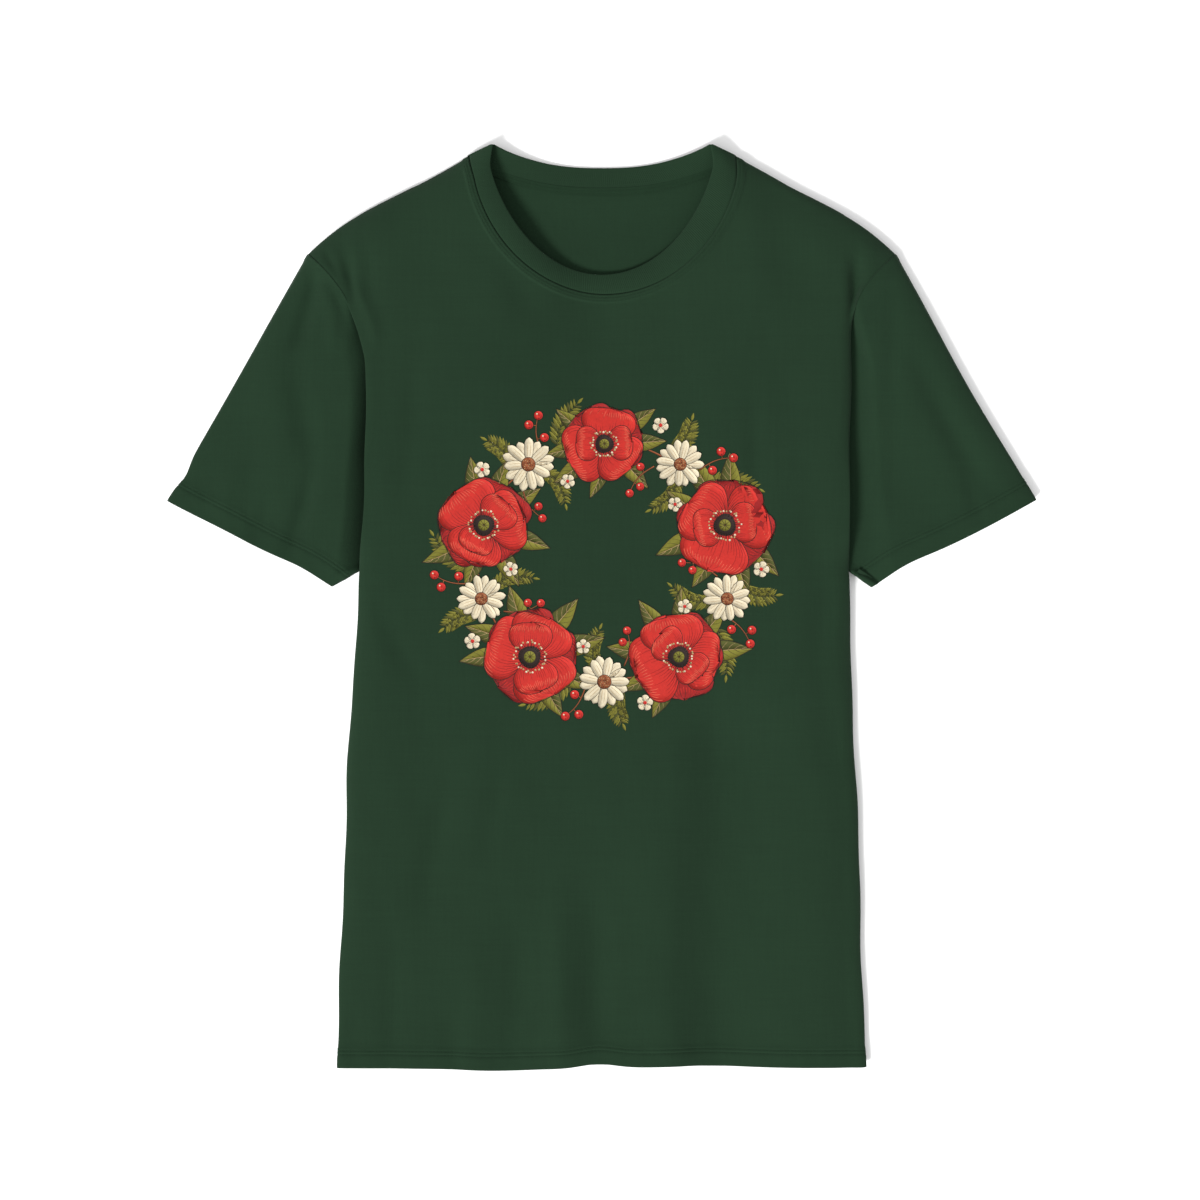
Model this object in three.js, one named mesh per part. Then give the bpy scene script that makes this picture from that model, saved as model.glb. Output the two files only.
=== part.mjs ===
// A crew-neck T-shirt with short set-in sleeves, laid flat with its front facing up.
//
// Millimetres. +Z is up, +Y runs from the hem to the collar, and +X is the wearer's left.
// The origin is on the surface that the shirt lies on, under the middle of its outline.
// The cloth holds a little air: the front stands over the back, so the body, both sleeves,
// the neck, the hem and both cuffs are open. Each panel is a thin closed solid of its own,
// and a seam is a narrow gap between two panels.

import * as THREE from 'three';

// ---------------------------------------------------------------- driving dimensions

// Outline of one half, seen from above. The other half is its mirror image.
const HEM_Y = -370;
const HEM_HALF_WIDTH = 211.5;
const ARMPIT = new THREE.Vector2(196.5, 28);
const SHOULDER = new THREE.Vector2(236, 281);
const NECK_SIDE = new THREE.Vector2(107, 360);
const CUFF_TOP = new THREE.Vector2(348, 84);
const CUFF_BOTTOM = new THREE.Vector2(216.5, 15);
const SIDE_FLARE_POWER = 0.85;
const SHOULDER_BOW = 6.5;

// Armhole: nearly straight from the armpit, then a curve out to the shoulder.
const ARMHOLE_LEAN = 1.5;
const ARMHOLE_BEND_Y = 215;
const ARMHOLE_BEND_POWER = 2.2;

// Neckline: where the collar is sewn on, and the collar's free edge.
const FRONT_NECK_Y = 249;
const FRONT_NECK_POWER = 1.85;
const BACK_NECK_Y = 334.5;
const BACK_NECK_POWER = 2.3;
const COLLAR_PEAK = new THREE.Vector2(88.5, 370);
const FRONT_COLLAR_Y = 264.5;
const FRONT_COLLAR_POWER = 1.75;
const BACK_COLLAR_Y = 351;
const BACK_COLLAR_POWER = 2.9;

// Heights of the outer face over the surface.
const HEM_HEIGHT = 11;
const HEM_SLOPE = 260;
const CHEST_HEIGHT = 18;
const NECK_HEIGHT = 16;
const NECK_SLOPE_START_Y = 60;
const NECK_SLOPE_END_Y = 290;
const SIDE_FOLD_HEIGHT = 7.5;
const ARMHOLE_FOLD_HEIGHT = 8.5;
const SHOULDER_FOLD_HEIGHT = 7.5;
const SLEEVE_HEIGHT = 13.5;
const CUFF_HEIGHT = 10.5;
const SLEEVE_FOLD_HEIGHT = 6;

// How far in from an edge the puffed cloth rounds over, and how square that rounding is.
const BODY_ROUNDING = 40;
const SHOULDER_ROUNDING = 44;
const SLEEVE_ROUNDING = 30;
const GROOVE_ROUNDING = 24;
const ROUNDING_POWER = 2.4;

// The back lies flat and curls up to the seams over this width.
const BACK_CURL = 20;

// Side seams are tucked under the fold; armhole seams lie in the groove beside the body.
const SIDE_SEAM_INSET = 3.6;
const SIDE_SEAM_HEIGHT = 4.2;
const ARMPIT_SEAM_HEIGHT = 5;
const SIDE_CHANGE_Y = -60;
const ARMHOLE_SEAM_HEIGHT = 7.5;
const ARMPIT_BLEND = 35;
const ARMPIT_RISE = 8;

// Collar: heights of its seam and its free edge, on the front and on the back.
const RIB_FRONT_RISE = 1.2;
const PEAK_FRONT_HEIGHT = 12;
const PEAK_BACK_HEIGHT = 8.5;
const RIB_SEAM_FRONT = 8.9;
const RIB_SEAM_BACK = 6.7;
const RIB_BACK_EDGE = 3;
const RIB_REST = 0.3;
const RIB_CROWN = 0.8;
const RIB_BACK_POWER = 3;

// Sleeve: how soon its seam's shape gives way to its own, as a share of its length.
const SLEEVE_SETTLE = 0.3;
const SLEEVE_BACK_SETTLE = 0.15;

// Cloth and seam sizes.
const CLOTH = 0.9;
const RIB = 1.4;
const SEAM_GAP = 0.3;
const STITCH_LIFT = 0.3;
const THREAD_RADIUS = 0.4;
const FIRST_STITCH = 3;
const SECOND_STITCH = 6;
const HEM_STITCHES = [11, 14];
const CUFF_STITCHES = [15, 18];
const OVERLOCK_WIDTH = 5;
const OVERLOCK_THICKNESS = 1;
const OVERLOCK_CLEARANCE = 0.6;
const OVERLOCK_INSET = 1.8;
const FOLD_DROP = 0.8;

// Neck tape: from just under the back neck seam, and short of both shoulder seams.
const TAPE_START = 1;
const TAPE_WIDTH = 9;
const TAPE_THICKNESS = 0.8;
const TAPE_REACH = 0.8;
const TAPE_EDGE_STITCH = 1.5;

// How far the hidden overlocked seams run: along Y, or as a share of the seam's length.
const ARMHOLE_OVERLOCK_SPAN = [48, 258];
const SHOULDER_OVERLOCK_SPAN = [0.1, 0.88];
const UNDERARM_OVERLOCK_SPAN = [0.4, 0.94];

// Chest print: a round band of ink, centred on the chest.
const PRINT_CENTRE = new THREE.Vector2(2, 35);
const PRINT_RADII = [74, 95, 116, 137];
const INK = 0.3;

const SHIRT_GREEN = 0x2a3f2e;
const SLEEVE_GREEN = 0x2b402f;
const THREAD_GREEN = 0x263a2a;
const TAPE_GREEN = 0x283c2d;
const PRINT_RED = 0xb5382c;

// How finely the curved cloth is divided.
const NECK_STEPS = 9;
const SIDE_ROWS = 8;
const SHOULDER_COLUMNS = [0.62, 0.73, 0.82, 0.89, 0.94, 0.975, 0.994, 1];
const ARMHOLE_ROWS = [0.012, 0.04, 0.09, 0.17, 0.28, 0.42, 0.56, 0.69, 0.8, 0.89, 0.95];
const SLEEVE_RINGS = [0, 0.008, 0.03, 0.07, 0.13, 0.21, 0.32, 0.45, 0.6, 0.8];
const UNDERARM_EVENING = 4;
const RIB_ROWS = 4;
const TAPE_STEPS = 16;
const OVERLOCK_STEPS = 6;
const PRINT_SECTORS = 40;

const UP = new THREE.Vector3(0, 0, 1);
const DOWN = new THREE.Vector3(0, 0, -1);

// ---------------------------------------------------------------- small helpers

const { lerp, clamp, smoothstep } = THREE.MathUtils;

const lift = (flat, z) => new THREE.Vector3(flat.x, flat.y, z);

// A quarter of a superellipse: 0 with a steep start at an edge, 1 from `width` inwards.
function rounding(distance, width) {
  const across = clamp(distance / width, 0, 1);
  return Math.sqrt(1 - (1 - across) ** ROUNDING_POWER);
}

// Height of the curl of the back cloth: `height` at the seam, 0 from BACK_CURL inwards.
function curl(distance, height) {
  const across = clamp(distance / BACK_CURL, 0, 1);
  return height * (1 - Math.sqrt(1 - (1 - across) ** 2));
}

// ---------------------------------------------------------------- outline of the shirt

// Half width of the body: the side fold below the armpit, the armhole seam above it.
function sideX(y) {
  if (y <= ARMPIT.y) {
    const down = (ARMPIT.y - y) / (ARMPIT.y - HEM_Y);
    return ARMPIT.x + (HEM_HALF_WIDTH - ARMPIT.x) * down ** SIDE_FLARE_POWER;
  }
  const up = (y - ARMPIT.y) / (SHOULDER.y - ARMPIT.y);
  const bend = Math.max(0, (y - ARMHOLE_BEND_Y) / (SHOULDER.y - ARMHOLE_BEND_Y));
  const straight = ARMPIT.x + ARMHOLE_LEAN * Math.min(up, 1);
  return straight + (SHOULDER.x - ARMPIT.x - ARMHOLE_LEAN) * bend ** ARMHOLE_BEND_POWER;
}

// Direction across the armhole seam, from the body to the sleeve, in plan.
function armholeNormal(y) {
  const step = 0.5;
  const above = sideX(Math.min(y + step, SHOULDER.y));
  const below = sideX(Math.max(y - step, ARMPIT.y + step));
  return new THREE.Vector3(2 * step, below - above, 0).normalize();
}

// Shoulder seam, from 0 at the neck to 1 at the armhole.
function shoulderPoint(along) {
  const point = new THREE.Vector2().lerpVectors(NECK_SIDE, SHOULDER, along);
  point.y += SHOULDER_BOW * Math.sin(Math.PI * along ** 2);
  return point;
}

const SHOULDER_RUN = new THREE.Vector2().subVectors(SHOULDER, NECK_SIDE).normalize();
const SHOULDER_NORMAL = new THREE.Vector2(-SHOULDER_RUN.y, SHOULDER_RUN.x);

// Distance in from the shoulder seam.
function shoulderDistance(x, y) {
  const fromNeck = new THREE.Vector2(Math.abs(x) - NECK_SIDE.x, y - NECK_SIDE.y);
  const along = clamp(fromNeck.dot(SHOULDER_RUN) / NECK_SIDE.distanceTo(SHOULDER), 0, 1);
  const bow = SHOULDER_BOW * Math.sin(Math.PI * along ** 2) * SHOULDER_NORMAL.y;
  return Math.max(0, bow - fromNeck.dot(SHOULDER_NORMAL));
}

// A U-shaped curve from its bottom (angle 0) to its side (angle a quarter turn).
function uCurve(halfWidth, sideY, bottomY, power, angle) {
  const x = halfWidth * Math.sin(angle) ** (2 / power);
  const y = sideY - (sideY - bottomY) * Math.cos(angle) ** (2 / power);
  return new THREE.Vector2(x, y);
}

const frontNeck = (angle) => uCurve(NECK_SIDE.x, NECK_SIDE.y, FRONT_NECK_Y, FRONT_NECK_POWER, angle);

const frontCollar = (angle) =>
  uCurve(COLLAR_PEAK.x, COLLAR_PEAK.y, FRONT_COLLAR_Y, FRONT_COLLAR_POWER, angle);

// A shallow curve across the back, from 0 in the middle to 1 at the side.
function shallowCurve(side, middleY, power, across) {
  const x = side.x * across;
  const y = middleY + (side.y - middleY) * across ** power;
  return new THREE.Vector2(x, y);
}

const backNeck = (across) => shallowCurve(NECK_SIDE, BACK_NECK_Y, BACK_NECK_POWER, across);

const backCollar = (across) => shallowCurve(COLLAR_PEAK, BACK_COLLAR_Y, BACK_COLLAR_POWER, across);

// ---------------------------------------------------------------- heights of the cloth

// Height of the outer fold or seam at the side of the body.
function edgeHeight(y) {
  const toArmhole = smoothstep(y, SIDE_CHANGE_Y, ARMPIT.y);
  const toShoulder = smoothstep(y, ARMHOLE_BEND_Y, SHOULDER.y);
  const below = lerp(SIDE_FOLD_HEIGHT, ARMHOLE_FOLD_HEIGHT, toArmhole);
  return lerp(below, SHOULDER_FOLD_HEIGHT, toShoulder);
}

// Height of the front along its middle.
function crownHeight(y) {
  const fromHem = smoothstep(y, HEM_Y, HEM_Y + HEM_SLOPE);
  const toNeck = smoothstep(y, NECK_SLOPE_START_Y, NECK_SLOPE_END_Y);
  return lerp(lerp(HEM_HEIGHT, CHEST_HEIGHT, fromHem), NECK_HEIGHT, toNeck);
}

function frontHeight(x, y) {
  const edge = edgeHeight(y);
  const fromSide = rounding(sideX(y) - Math.abs(x), BODY_ROUNDING);
  const fromShoulder = rounding(shoulderDistance(x, y), SHOULDER_ROUNDING);
  return edge + (crownHeight(y) - edge) * fromSide * fromShoulder;
}

// Height of the seam on the back cloth's edge: up to the side seam, flat along the armhole.
function backSeamHeight(y) {
  const armpit = lerp(SIDE_SEAM_HEIGHT, ARMPIT_SEAM_HEIGHT, smoothstep(y, SIDE_CHANGE_Y, ARMPIT.y));
  const above = clamp((y - ARMPIT.y) / ARMPIT_BLEND, 0, 1);
  return armpit * (1 - above) ** 2;
}

function frontSeamHeight(y) {
  const armpit = lerp(SIDE_SEAM_HEIGHT, ARMPIT_SEAM_HEIGHT, smoothstep(y, SIDE_CHANGE_Y, ARMPIT.y));
  const above = clamp((y - ARMPIT.y) / ARMPIT_RISE, 0, 1);
  const armhole = lerp(armpit, ARMHOLE_SEAM_HEIGHT, above);
  return lerp(armhole, SHOULDER_FOLD_HEIGHT, smoothstep(y, ARMHOLE_BEND_Y, SHOULDER.y));
}

const seamInset = (y) => SIDE_SEAM_INSET * (1 - smoothstep(y, SIDE_CHANGE_Y, ARMPIT.y));

function backHeight(x, y) {
  const fromSeam = sideX(y) - seamInset(y) - Math.abs(x);
  const across = clamp(fromSeam / (BACK_CURL - SIDE_SEAM_INSET), 0, 1);
  const side = backSeamHeight(y) * (1 - across) ** 2;
  return side + curl(shoulderDistance(x, y), SHOULDER_FOLD_HEIGHT);
}

// ---------------------------------------------------------------- thin closed sheets

// Surface normals of a grid of vertices; `wrap` joins the last column to the first.
function gridNormals(grid, wrap) {
  const rows = grid.length;
  const columns = grid[0].length;
  const at = (row, column) => {
    const r = clamp(row, 0, rows - 1);
    const c = wrap ? (column + columns) % columns : clamp(column, 0, columns - 1);
    return grid[r][c].point;
  };
  return grid.map((line, row) => line.map((_, column) => {
    const across = at(row, column + 1).clone().sub(at(row, column - 1));
    const along = at(row + 1, column).clone().sub(at(row - 1, column));
    return across.cross(along).normalize();
  }));
}

// The way from the outer face to the inner one. On a seam it leans away from the neighbours.
function inwardStep(vertex, normal, thickness) {
  const step = normal.clone().negate();
  for (const neighbour of vertex.neighbours ?? []) {
    const towards = step.dot(neighbour);
    if (towards > 0) {
      step.addScaledVector(neighbour, -towards);
    }
  }
  return step.setLength(thickness);
}

// Adds `outer` and `inner` faces to a grid, and keeps them so that stitches can follow them.
function thicken(grid, thickness, wrap = false) {
  const normals = gridNormals(grid, wrap);
  grid.forEach((line, row) => line.forEach((vertex, column) => {
    vertex.normal = normals[row][column];
    vertex.inner = vertex.point.clone().add(inwardStep(vertex, vertex.normal, thickness));
  }));
  return grid;
}

function indexedGeometry(points, triangles) {
  const geometry = new THREE.BufferGeometry();
  geometry.setAttribute('position', new THREE.Float32BufferAttribute(points.flatMap((p) => p.toArray()), 3));
  geometry.setIndex(triangles.flat());
  geometry.computeVertexNormals();
  return geometry;
}

// Closed solid between the outer and inner faces of a thickened grid.
function sheetGeometry(grid, wrap = false) {
  const rows = grid.length;
  const columns = grid[0].length;
  const points = [...grid.flat().map((v) => v.point), ...grid.flat().map((v) => v.inner)];
  const outer = (row, column) => row * columns + (column % columns);
  const inner = (row, column) => rows * columns + outer(row, column);
  const triangles = [];
  const quad = (a, b, c, d) => {
    const shortFirst = points[a].distanceTo(points[c]) <= points[b].distanceTo(points[d]);
    triangles.push(...(shortFirst ? [[a, b, c], [a, c, d]] : [[a, b, d], [b, c, d]]));
  };
  const lastColumn = wrap ? columns : columns - 1;
  for (let row = 0; row < rows - 1; row += 1) {
    for (let column = 0; column < lastColumn; column += 1) {
      quad(outer(row, column), outer(row, column + 1), outer(row + 1, column + 1), outer(row + 1, column));
      quad(inner(row, column), inner(row + 1, column), inner(row + 1, column + 1), inner(row, column + 1));
    }
  }
  const top = rows - 1;
  for (let column = 0; column < lastColumn; column += 1) {
    quad(outer(0, column), inner(0, column), inner(0, column + 1), outer(0, column + 1));
    quad(outer(top, column), outer(top, column + 1), inner(top, column + 1), inner(top, column));
  }
  const end = columns - 1;
  for (let row = 0; row < top && !wrap; row += 1) {
    quad(outer(row, 0), outer(row + 1, 0), inner(row + 1, 0), inner(row, 0));
    quad(outer(row, end), inner(row, end), inner(row + 1, end), outer(row + 1, end));
  }
  return indexedGeometry(points, triangles);
}

// Turns every triangle over.
function reversed(geometry) {
  const index = geometry.getIndex();
  for (let corner = 0; corner < index.count; corner += 3) {
    const second = index.getX(corner + 1);
    index.setX(corner + 1, index.getX(corner + 2));
    index.setX(corner + 2, second);
  }
  geometry.computeVertexNormals();
  return geometry;
}

function signedVolume(points, triangles) {
  const share = ([a, b, c]) => points[a].dot(new THREE.Vector3().crossVectors(points[b], points[c]));
  return triangles.reduce((sum, triangle) => sum + share(triangle), 0);
}

// Closed strip whose four long edges pass through the corners of each station.
function stripGeometry(stations) {
  const points = stations.flat();
  const corners = 4;
  const triangles = [];
  const quad = (a, b, c, d) => triangles.push([a, b, c], [a, c, d]);
  for (let station = 0; station < stations.length - 1; station += 1) {
    for (let corner = 0; corner < corners; corner += 1) {
      const here = station * corners + corner;
      const next = station * corners + ((corner + 1) % corners);
      quad(here, next, next + corners, here + corners);
    }
  }
  const last = points.length - corners;
  quad(corners - 1, corners - 2, 1, 0);
  quad(last, last + 1, last + 2, last + 3);
  const strip = indexedGeometry(points, triangles);
  return signedVolume(points, triangles) < 0 ? reversed(strip) : strip;
}

// A thread laid along a list of places, each with a point and the way out of the cloth.
function threadGeometry(places, radius = THREAD_RADIUS) {
  const stations = places.map(({ point, normal }, index) => {
    const before = places[Math.max(index - 1, 0)].point;
    const after = places[Math.min(index + 1, places.length - 1)].point;
    const run = after.clone().sub(before).normalize();
    const side = new THREE.Vector3().crossVectors(run, normal).setLength(radius);
    const out = normal.clone().setLength(radius);
    const centre = point.clone().addScaledVector(normal, STITCH_LIFT + radius);
    return [
      centre.clone().add(side),
      centre.clone().add(out),
      centre.clone().sub(side),
      centre.clone().sub(out),
    ];
  });
  return stripGeometry(stations);
}

const mirrored = (geometry) => reversed(geometry.clone().scale(-1, 1, 1));

// ---------------------------------------------------------------- front and back panels

// A panel's columns are fractions of its half width; the neck ends at NECK_FRACTION.
const NECK_FRACTION = 0.5;
const NECK_COLUMNS = Array.from({ length: NECK_STEPS }, (_, i) => NECK_FRACTION * i / NECK_STEPS);
const FRONT_COLUMNS = [...NECK_COLUMNS, NECK_FRACTION, ...SHOULDER_COLUMNS];
const BACK_COLUMNS = [0, 0.1, 0.2, 0.3, 0.4, 0.5, 0.66, 0.82, 0.92, 0.955, 0.98, 1];

// Rows: the hem, the side up to the armpit, the armhole, then rows parallel to the top edge.
const TOP_OFFSETS = [12, SECOND_STITCH, FIRST_STITCH, 0];
const ARMHOLE_SLIDE = new THREE.Vector2(-0.835, -0.66);
const SHOULDER_CORNER = 0.1;

// Point on a panel's top edge at column fraction c: neck curve, then shoulder seam.
function topPoint(neck, c) {
  if (c < NECK_FRACTION) {
    return neck(c / NECK_FRACTION);
  }
  return shoulderPoint((c - NECK_FRACTION) / (1 - NECK_FRACTION));
}

// Way to move from the top edge so that rows stay parallel to it, with a mitre at the neck.
function topSlide(neck, c) {
  const shoulderSlide = SHOULDER_NORMAL.clone().negate();
  const step = 0.01;
  const fraction = Math.min(c / NECK_FRACTION, 1 - step);
  const run = neck(fraction + step).sub(neck(Math.max(fraction - step, 0))).normalize();
  const neckSlide = new THREE.Vector2(run.y, -run.x);
  if (c < NECK_FRACTION) {
    return neckSlide;
  }
  if (c === NECK_FRACTION) {
    const mitre = 1 + neckSlide.dot(shoulderSlide);
    return neckSlide.add(shoulderSlide).divideScalar(mitre);
  }
  const corner = clamp((c - 1 + SHOULDER_CORNER) / SHOULDER_CORNER, 0, 1);
  return shoulderSlide.lerp(ARMHOLE_SLIDE, corner);
}

// Plan position of a panel's row at column fraction c, which is 1 on the fold or seam.
function topRow(neck, offset) {
  return (c) => {
    const flat = topPoint(neck, c).addScaledVector(topSlide(neck, c), offset);
    return c === 1 ? new THREE.Vector2(sideX(flat.y), flat.y) : flat;
  };
}

function sideRow(y, inset) {
  return (c) => new THREE.Vector2(c * (sideX(y) - inset), y);
}

function armholeRow(neck, fraction, inset) {
  const top = topRow(neck, TOP_OFFSETS[0]);
  const sideY = lerp(ARMPIT.y, top(1).y, fraction);
  const lean = smoothstep(fraction, 0, 1);
  return (c) => {
    const y = lerp(ARMPIT.y, top(c).y, fraction);
    const x = c * (sideX(sideY) - inset(sideY)) + lean * (top(c).x - c * top(1).x);
    return new THREE.Vector2(x, y);
  };
}

function panelRows(neck, inset) {
  const hem = [HEM_Y, ...HEM_STITCHES.map((rise) => HEM_Y + rise)];
  const lowest = hem.at(-1);
  const side = Array.from({ length: SIDE_ROWS }, (_, i) => lerp(lowest, ARMPIT.y, (i + 1) / SIDE_ROWS));
  return [
    ...[...hem, ...side].map((y) => sideRow(y, inset(y))),
    ...ARMHOLE_ROWS.map((fraction) => armholeRow(neck, fraction, inset)),
    ...TOP_OFFSETS.map((offset) => topRow(neck, offset)),
  ];
}

const bothSides = (half) => [...half.slice(1).reverse().map((c) => -c), ...half];

const frontNeckAt = (fraction) => frontNeck(fraction * Math.PI / 2);

// Moves a vertex on a seam away from the neighbouring piece, and notes where that is.
function atSeam(vertex, direction) {
  vertex.neighbours = [...(vertex.neighbours ?? []), direction];
  vertex.point.addScaledVector(direction, -SEAM_GAP);
  return vertex;
}

const mirrorX = (vector, sign) => new THREE.Vector3(vector.x * sign, vector.y, vector.z);

// Along a panel's top edge the neighbour is the collar, or the other panel at the shoulder.
function seamAtTop(vertex, c, neck, acrossShoulder) {
  const sign = Math.sign(c) || 1;
  const size = Math.abs(c);
  if (size <= NECK_FRACTION) {
    const slide = topSlide(neck, Math.min(size, NECK_FRACTION - 0.01));
    atSeam(vertex, mirrorX(new THREE.Vector3(-slide.x, -slide.y, 0), sign));
  }
  if (size >= NECK_FRACTION) {
    atSeam(vertex, acrossShoulder);
  }
}

const FRONT_ROWS = panelRows(frontNeckAt, () => 0);
const SIDE_SEAM_Y = FRONT_ROWS.map((row) => row(1).y);
const ARMPIT_ROW = HEM_STITCHES.length + SIDE_ROWS;

// Tangent of the side seam, from the front to the back, for the right-hand (+X) side.
const SIDE_SEAM_RUN = new THREE.Vector3(-0.8, 0, -0.6);

function frontSeamVertex(row, sign) {
  const y = SIDE_SEAM_Y[row];
  const x = sideX(y) - seamInset(y);
  const vertex = { point: new THREE.Vector3(sign * x, y, frontSeamHeight(y)) };
  if (row <= ARMPIT_ROW) {
    atSeam(vertex, mirrorX(SIDE_SEAM_RUN, sign));
  }
  if (row >= ARMPIT_ROW) {
    atSeam(vertex, mirrorX(armholeNormal(y), sign));
  }
  return vertex;
}

function frontFoldVertex(row, sign) {
  const y = SIDE_SEAM_Y[row];
  const z = Math.max(edgeHeight(y), frontSeamHeight(y) + FOLD_DROP);
  const vertex = { point: new THREE.Vector3(sign * sideX(y), y, z) };
  if (row >= ARMPIT_ROW) {
    atSeam(vertex, mirrorX(armholeNormal(y), sign));
  }
  return vertex;
}

function frontGrid() {
  return FRONT_ROWS.map((place, row) => {
    const isTop = row === FRONT_ROWS.length - 1;
    const finish = (vertex) => (isTop ? atSeam(vertex, DOWN) : vertex);
    const line = bothSides(FRONT_COLUMNS).map((c) => {
      const sign = Math.sign(c) || 1;
      if (Math.abs(c) === 1) {
        return finish(frontFoldVertex(row, sign));
      }
      const flat = place(Math.abs(c));
      const vertex = { point: new THREE.Vector3(sign * flat.x, flat.y, frontHeight(flat.x, flat.y)) };
      if (isTop) {
        seamAtTop(vertex, c, frontNeckAt, DOWN);
      }
      return vertex;
    });
    return [finish(frontSeamVertex(row, -1)), ...line, finish(frontSeamVertex(row, 1))];
  });
}

const BACK_ROWS = panelRows(backNeck, seamInset);

function backSeamVertex(row, sign) {
  const y = SIDE_SEAM_Y[row];
  const x = sideX(y) - seamInset(y);
  const shoulderCurl = curl(shoulderDistance(x, y), SHOULDER_FOLD_HEIGHT);
  const vertex = { point: new THREE.Vector3(sign * x, y, backSeamHeight(y) + shoulderCurl) };
  if (row <= ARMPIT_ROW) {
    atSeam(vertex, mirrorX(SIDE_SEAM_RUN, sign).negate());
  }
  if (row >= ARMPIT_ROW) {
    atSeam(vertex, mirrorX(armholeNormal(y), sign));
  }
  return vertex;
}

function backGrid() {
  const last = BACK_ROWS.length - 1;
  return BACK_ROWS.map((place, row) => bothSides(BACK_COLUMNS).reverse().map((c) => {
    const sign = Math.sign(c) || 1;
    if (Math.abs(c) === 1) {
      const corner = backSeamVertex(row, sign);
      return row === last ? atSeam(corner, UP) : corner;
    }
    const flat = place(Math.abs(c));
    const vertex = { point: new THREE.Vector3(sign * flat.x, flat.y, backHeight(flat.x, flat.y)) };
    if (row === last) {
      seamAtTop(vertex, c, backNeck, UP);
    }
    return vertex;
  }));
}

const front = thicken(frontGrid(), CLOTH);
const back = thicken(backGrid(), CLOTH);

// ---------------------------------------------------------------- sleeves

// Rings of the sleeve, as fractions of the way from the armhole to the cuff's inner stitches.
const CUFF_OFFSETS = [...CUFF_STITCHES].reverse().concat(0);
const ARMHOLE_Y = SIDE_SEAM_Y.slice(ARMPIT_ROW).reverse();

// Plan position in the sleeve: t runs from the top fold (0) to the underarm (1), and
// w from the armhole (0) to the cuff (1).
function sleevePlan(t, w) {
  const armholeY = lerp(SHOULDER.y, ARMPIT.y, t);
  const cuff = new THREE.Vector2().lerpVectors(CUFF_TOP, CUFF_BOTTOM, t);
  return new THREE.Vector2(sideX(armholeY), armholeY).lerp(cuff, w);
}

function sleeveLength(t) {
  return sleevePlan(t, 0).distanceTo(sleevePlan(t, 1));
}

function sleeveWidth(w) {
  return sleevePlan(0, w).distanceTo(sleevePlan(1, w));
}

// Ring number to w, at a fraction t round the sleeve; rings even out in the short underarm.
function ringW(ring, t) {
  const length = sleeveLength(t);
  const stitched = length - CUFF_OFFSETS[0];
  if (ring >= SLEEVE_RINGS.length) {
    return 1 - CUFF_OFFSETS[ring - SLEEVE_RINGS.length] / length;
  }
  const even = ring / SLEEVE_RINGS.length;
  return lerp(SLEEVE_RINGS[ring], even, t ** UNDERARM_EVENING) * stitched / length;
}

function sleeveFold(t, w) {
  const seam = t < 0.5 ? SHOULDER_FOLD_HEIGHT : ARMPIT_SEAM_HEIGHT;
  return lerp(seam, SLEEVE_FOLD_HEIGHT, smoothstep(w, 0, SLEEVE_SETTLE));
}

function sleeveFrontHeight(t, w) {
  const plan = sleevePlan(t, w);
  const seam = frontSeamHeight(lerp(SHOULDER.y, ARMPIT.y, t));
  const folds = lerp(sleeveFold(0, w), sleeveFold(1, w), t);
  const base = lerp(seam, folds, smoothstep(w, 0, SLEEVE_SETTLE));
  const crown = lerp(SLEEVE_HEIGHT, CUFF_HEIGHT, smoothstep(w, SLEEVE_SETTLE, 1));
  const width = sleeveWidth(w);
  const fromSeam = rounding(plan.distanceTo(sleevePlan(t, 0)), GROOVE_ROUNDING);
  const fromFolds = rounding(t * width, SLEEVE_ROUNDING) * rounding((1 - t) * width, SLEEVE_ROUNDING);
  return base + (crown - base) * fromSeam * fromFolds;
}

function sleeveBackHeight(t, w) {
  const armhole = sleevePlan(t, 0);
  const shoulder = curl(shoulderDistance(armhole.x, armhole.y), SHOULDER_FOLD_HEIGHT);
  const panel = backSeamHeight(armhole.y) + shoulder;
  const width = sleeveWidth(w);
  const folds = curl(t * width, sleeveFold(0, w)) + curl((1 - t) * width, sleeveFold(1, w));
  return lerp(panel, folds, smoothstep(w, 0, SLEEVE_BACK_SETTLE));
}

// The sleeve's ring: down the front from the top fold to the underarm, and back up behind.
function sleeveGrid() {
  const fractions = ARMHOLE_Y.map((y) => (SHOULDER.y - y) / (SHOULDER.y - ARMPIT.y));
  const behind = fractions.slice(1, -1).reverse();
  const rings = SLEEVE_RINGS.length + CUFF_OFFSETS.length;
  const vertexAt = (ring, t, isFront) => {
    const w = ringW(ring, t);
    const z = isFront ? sleeveFrontHeight(t, w) : sleeveBackHeight(t, w);
    const vertex = { point: lift(sleevePlan(t, w), z) };
    if (ring === 0) {
      atSeam(vertex, armholeNormal(vertex.point.y).negate());
    }
    return vertex;
  };
  return Array.from({ length: rings }, (_, ring) => [
    ...fractions.map((t) => vertexAt(ring, t, true)),
    ...behind.map((t) => vertexAt(ring, t, false)),
  ]);
}

const sleeve = thicken(sleeveGrid(), CLOTH, true);

// ---------------------------------------------------------------- collar

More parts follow.
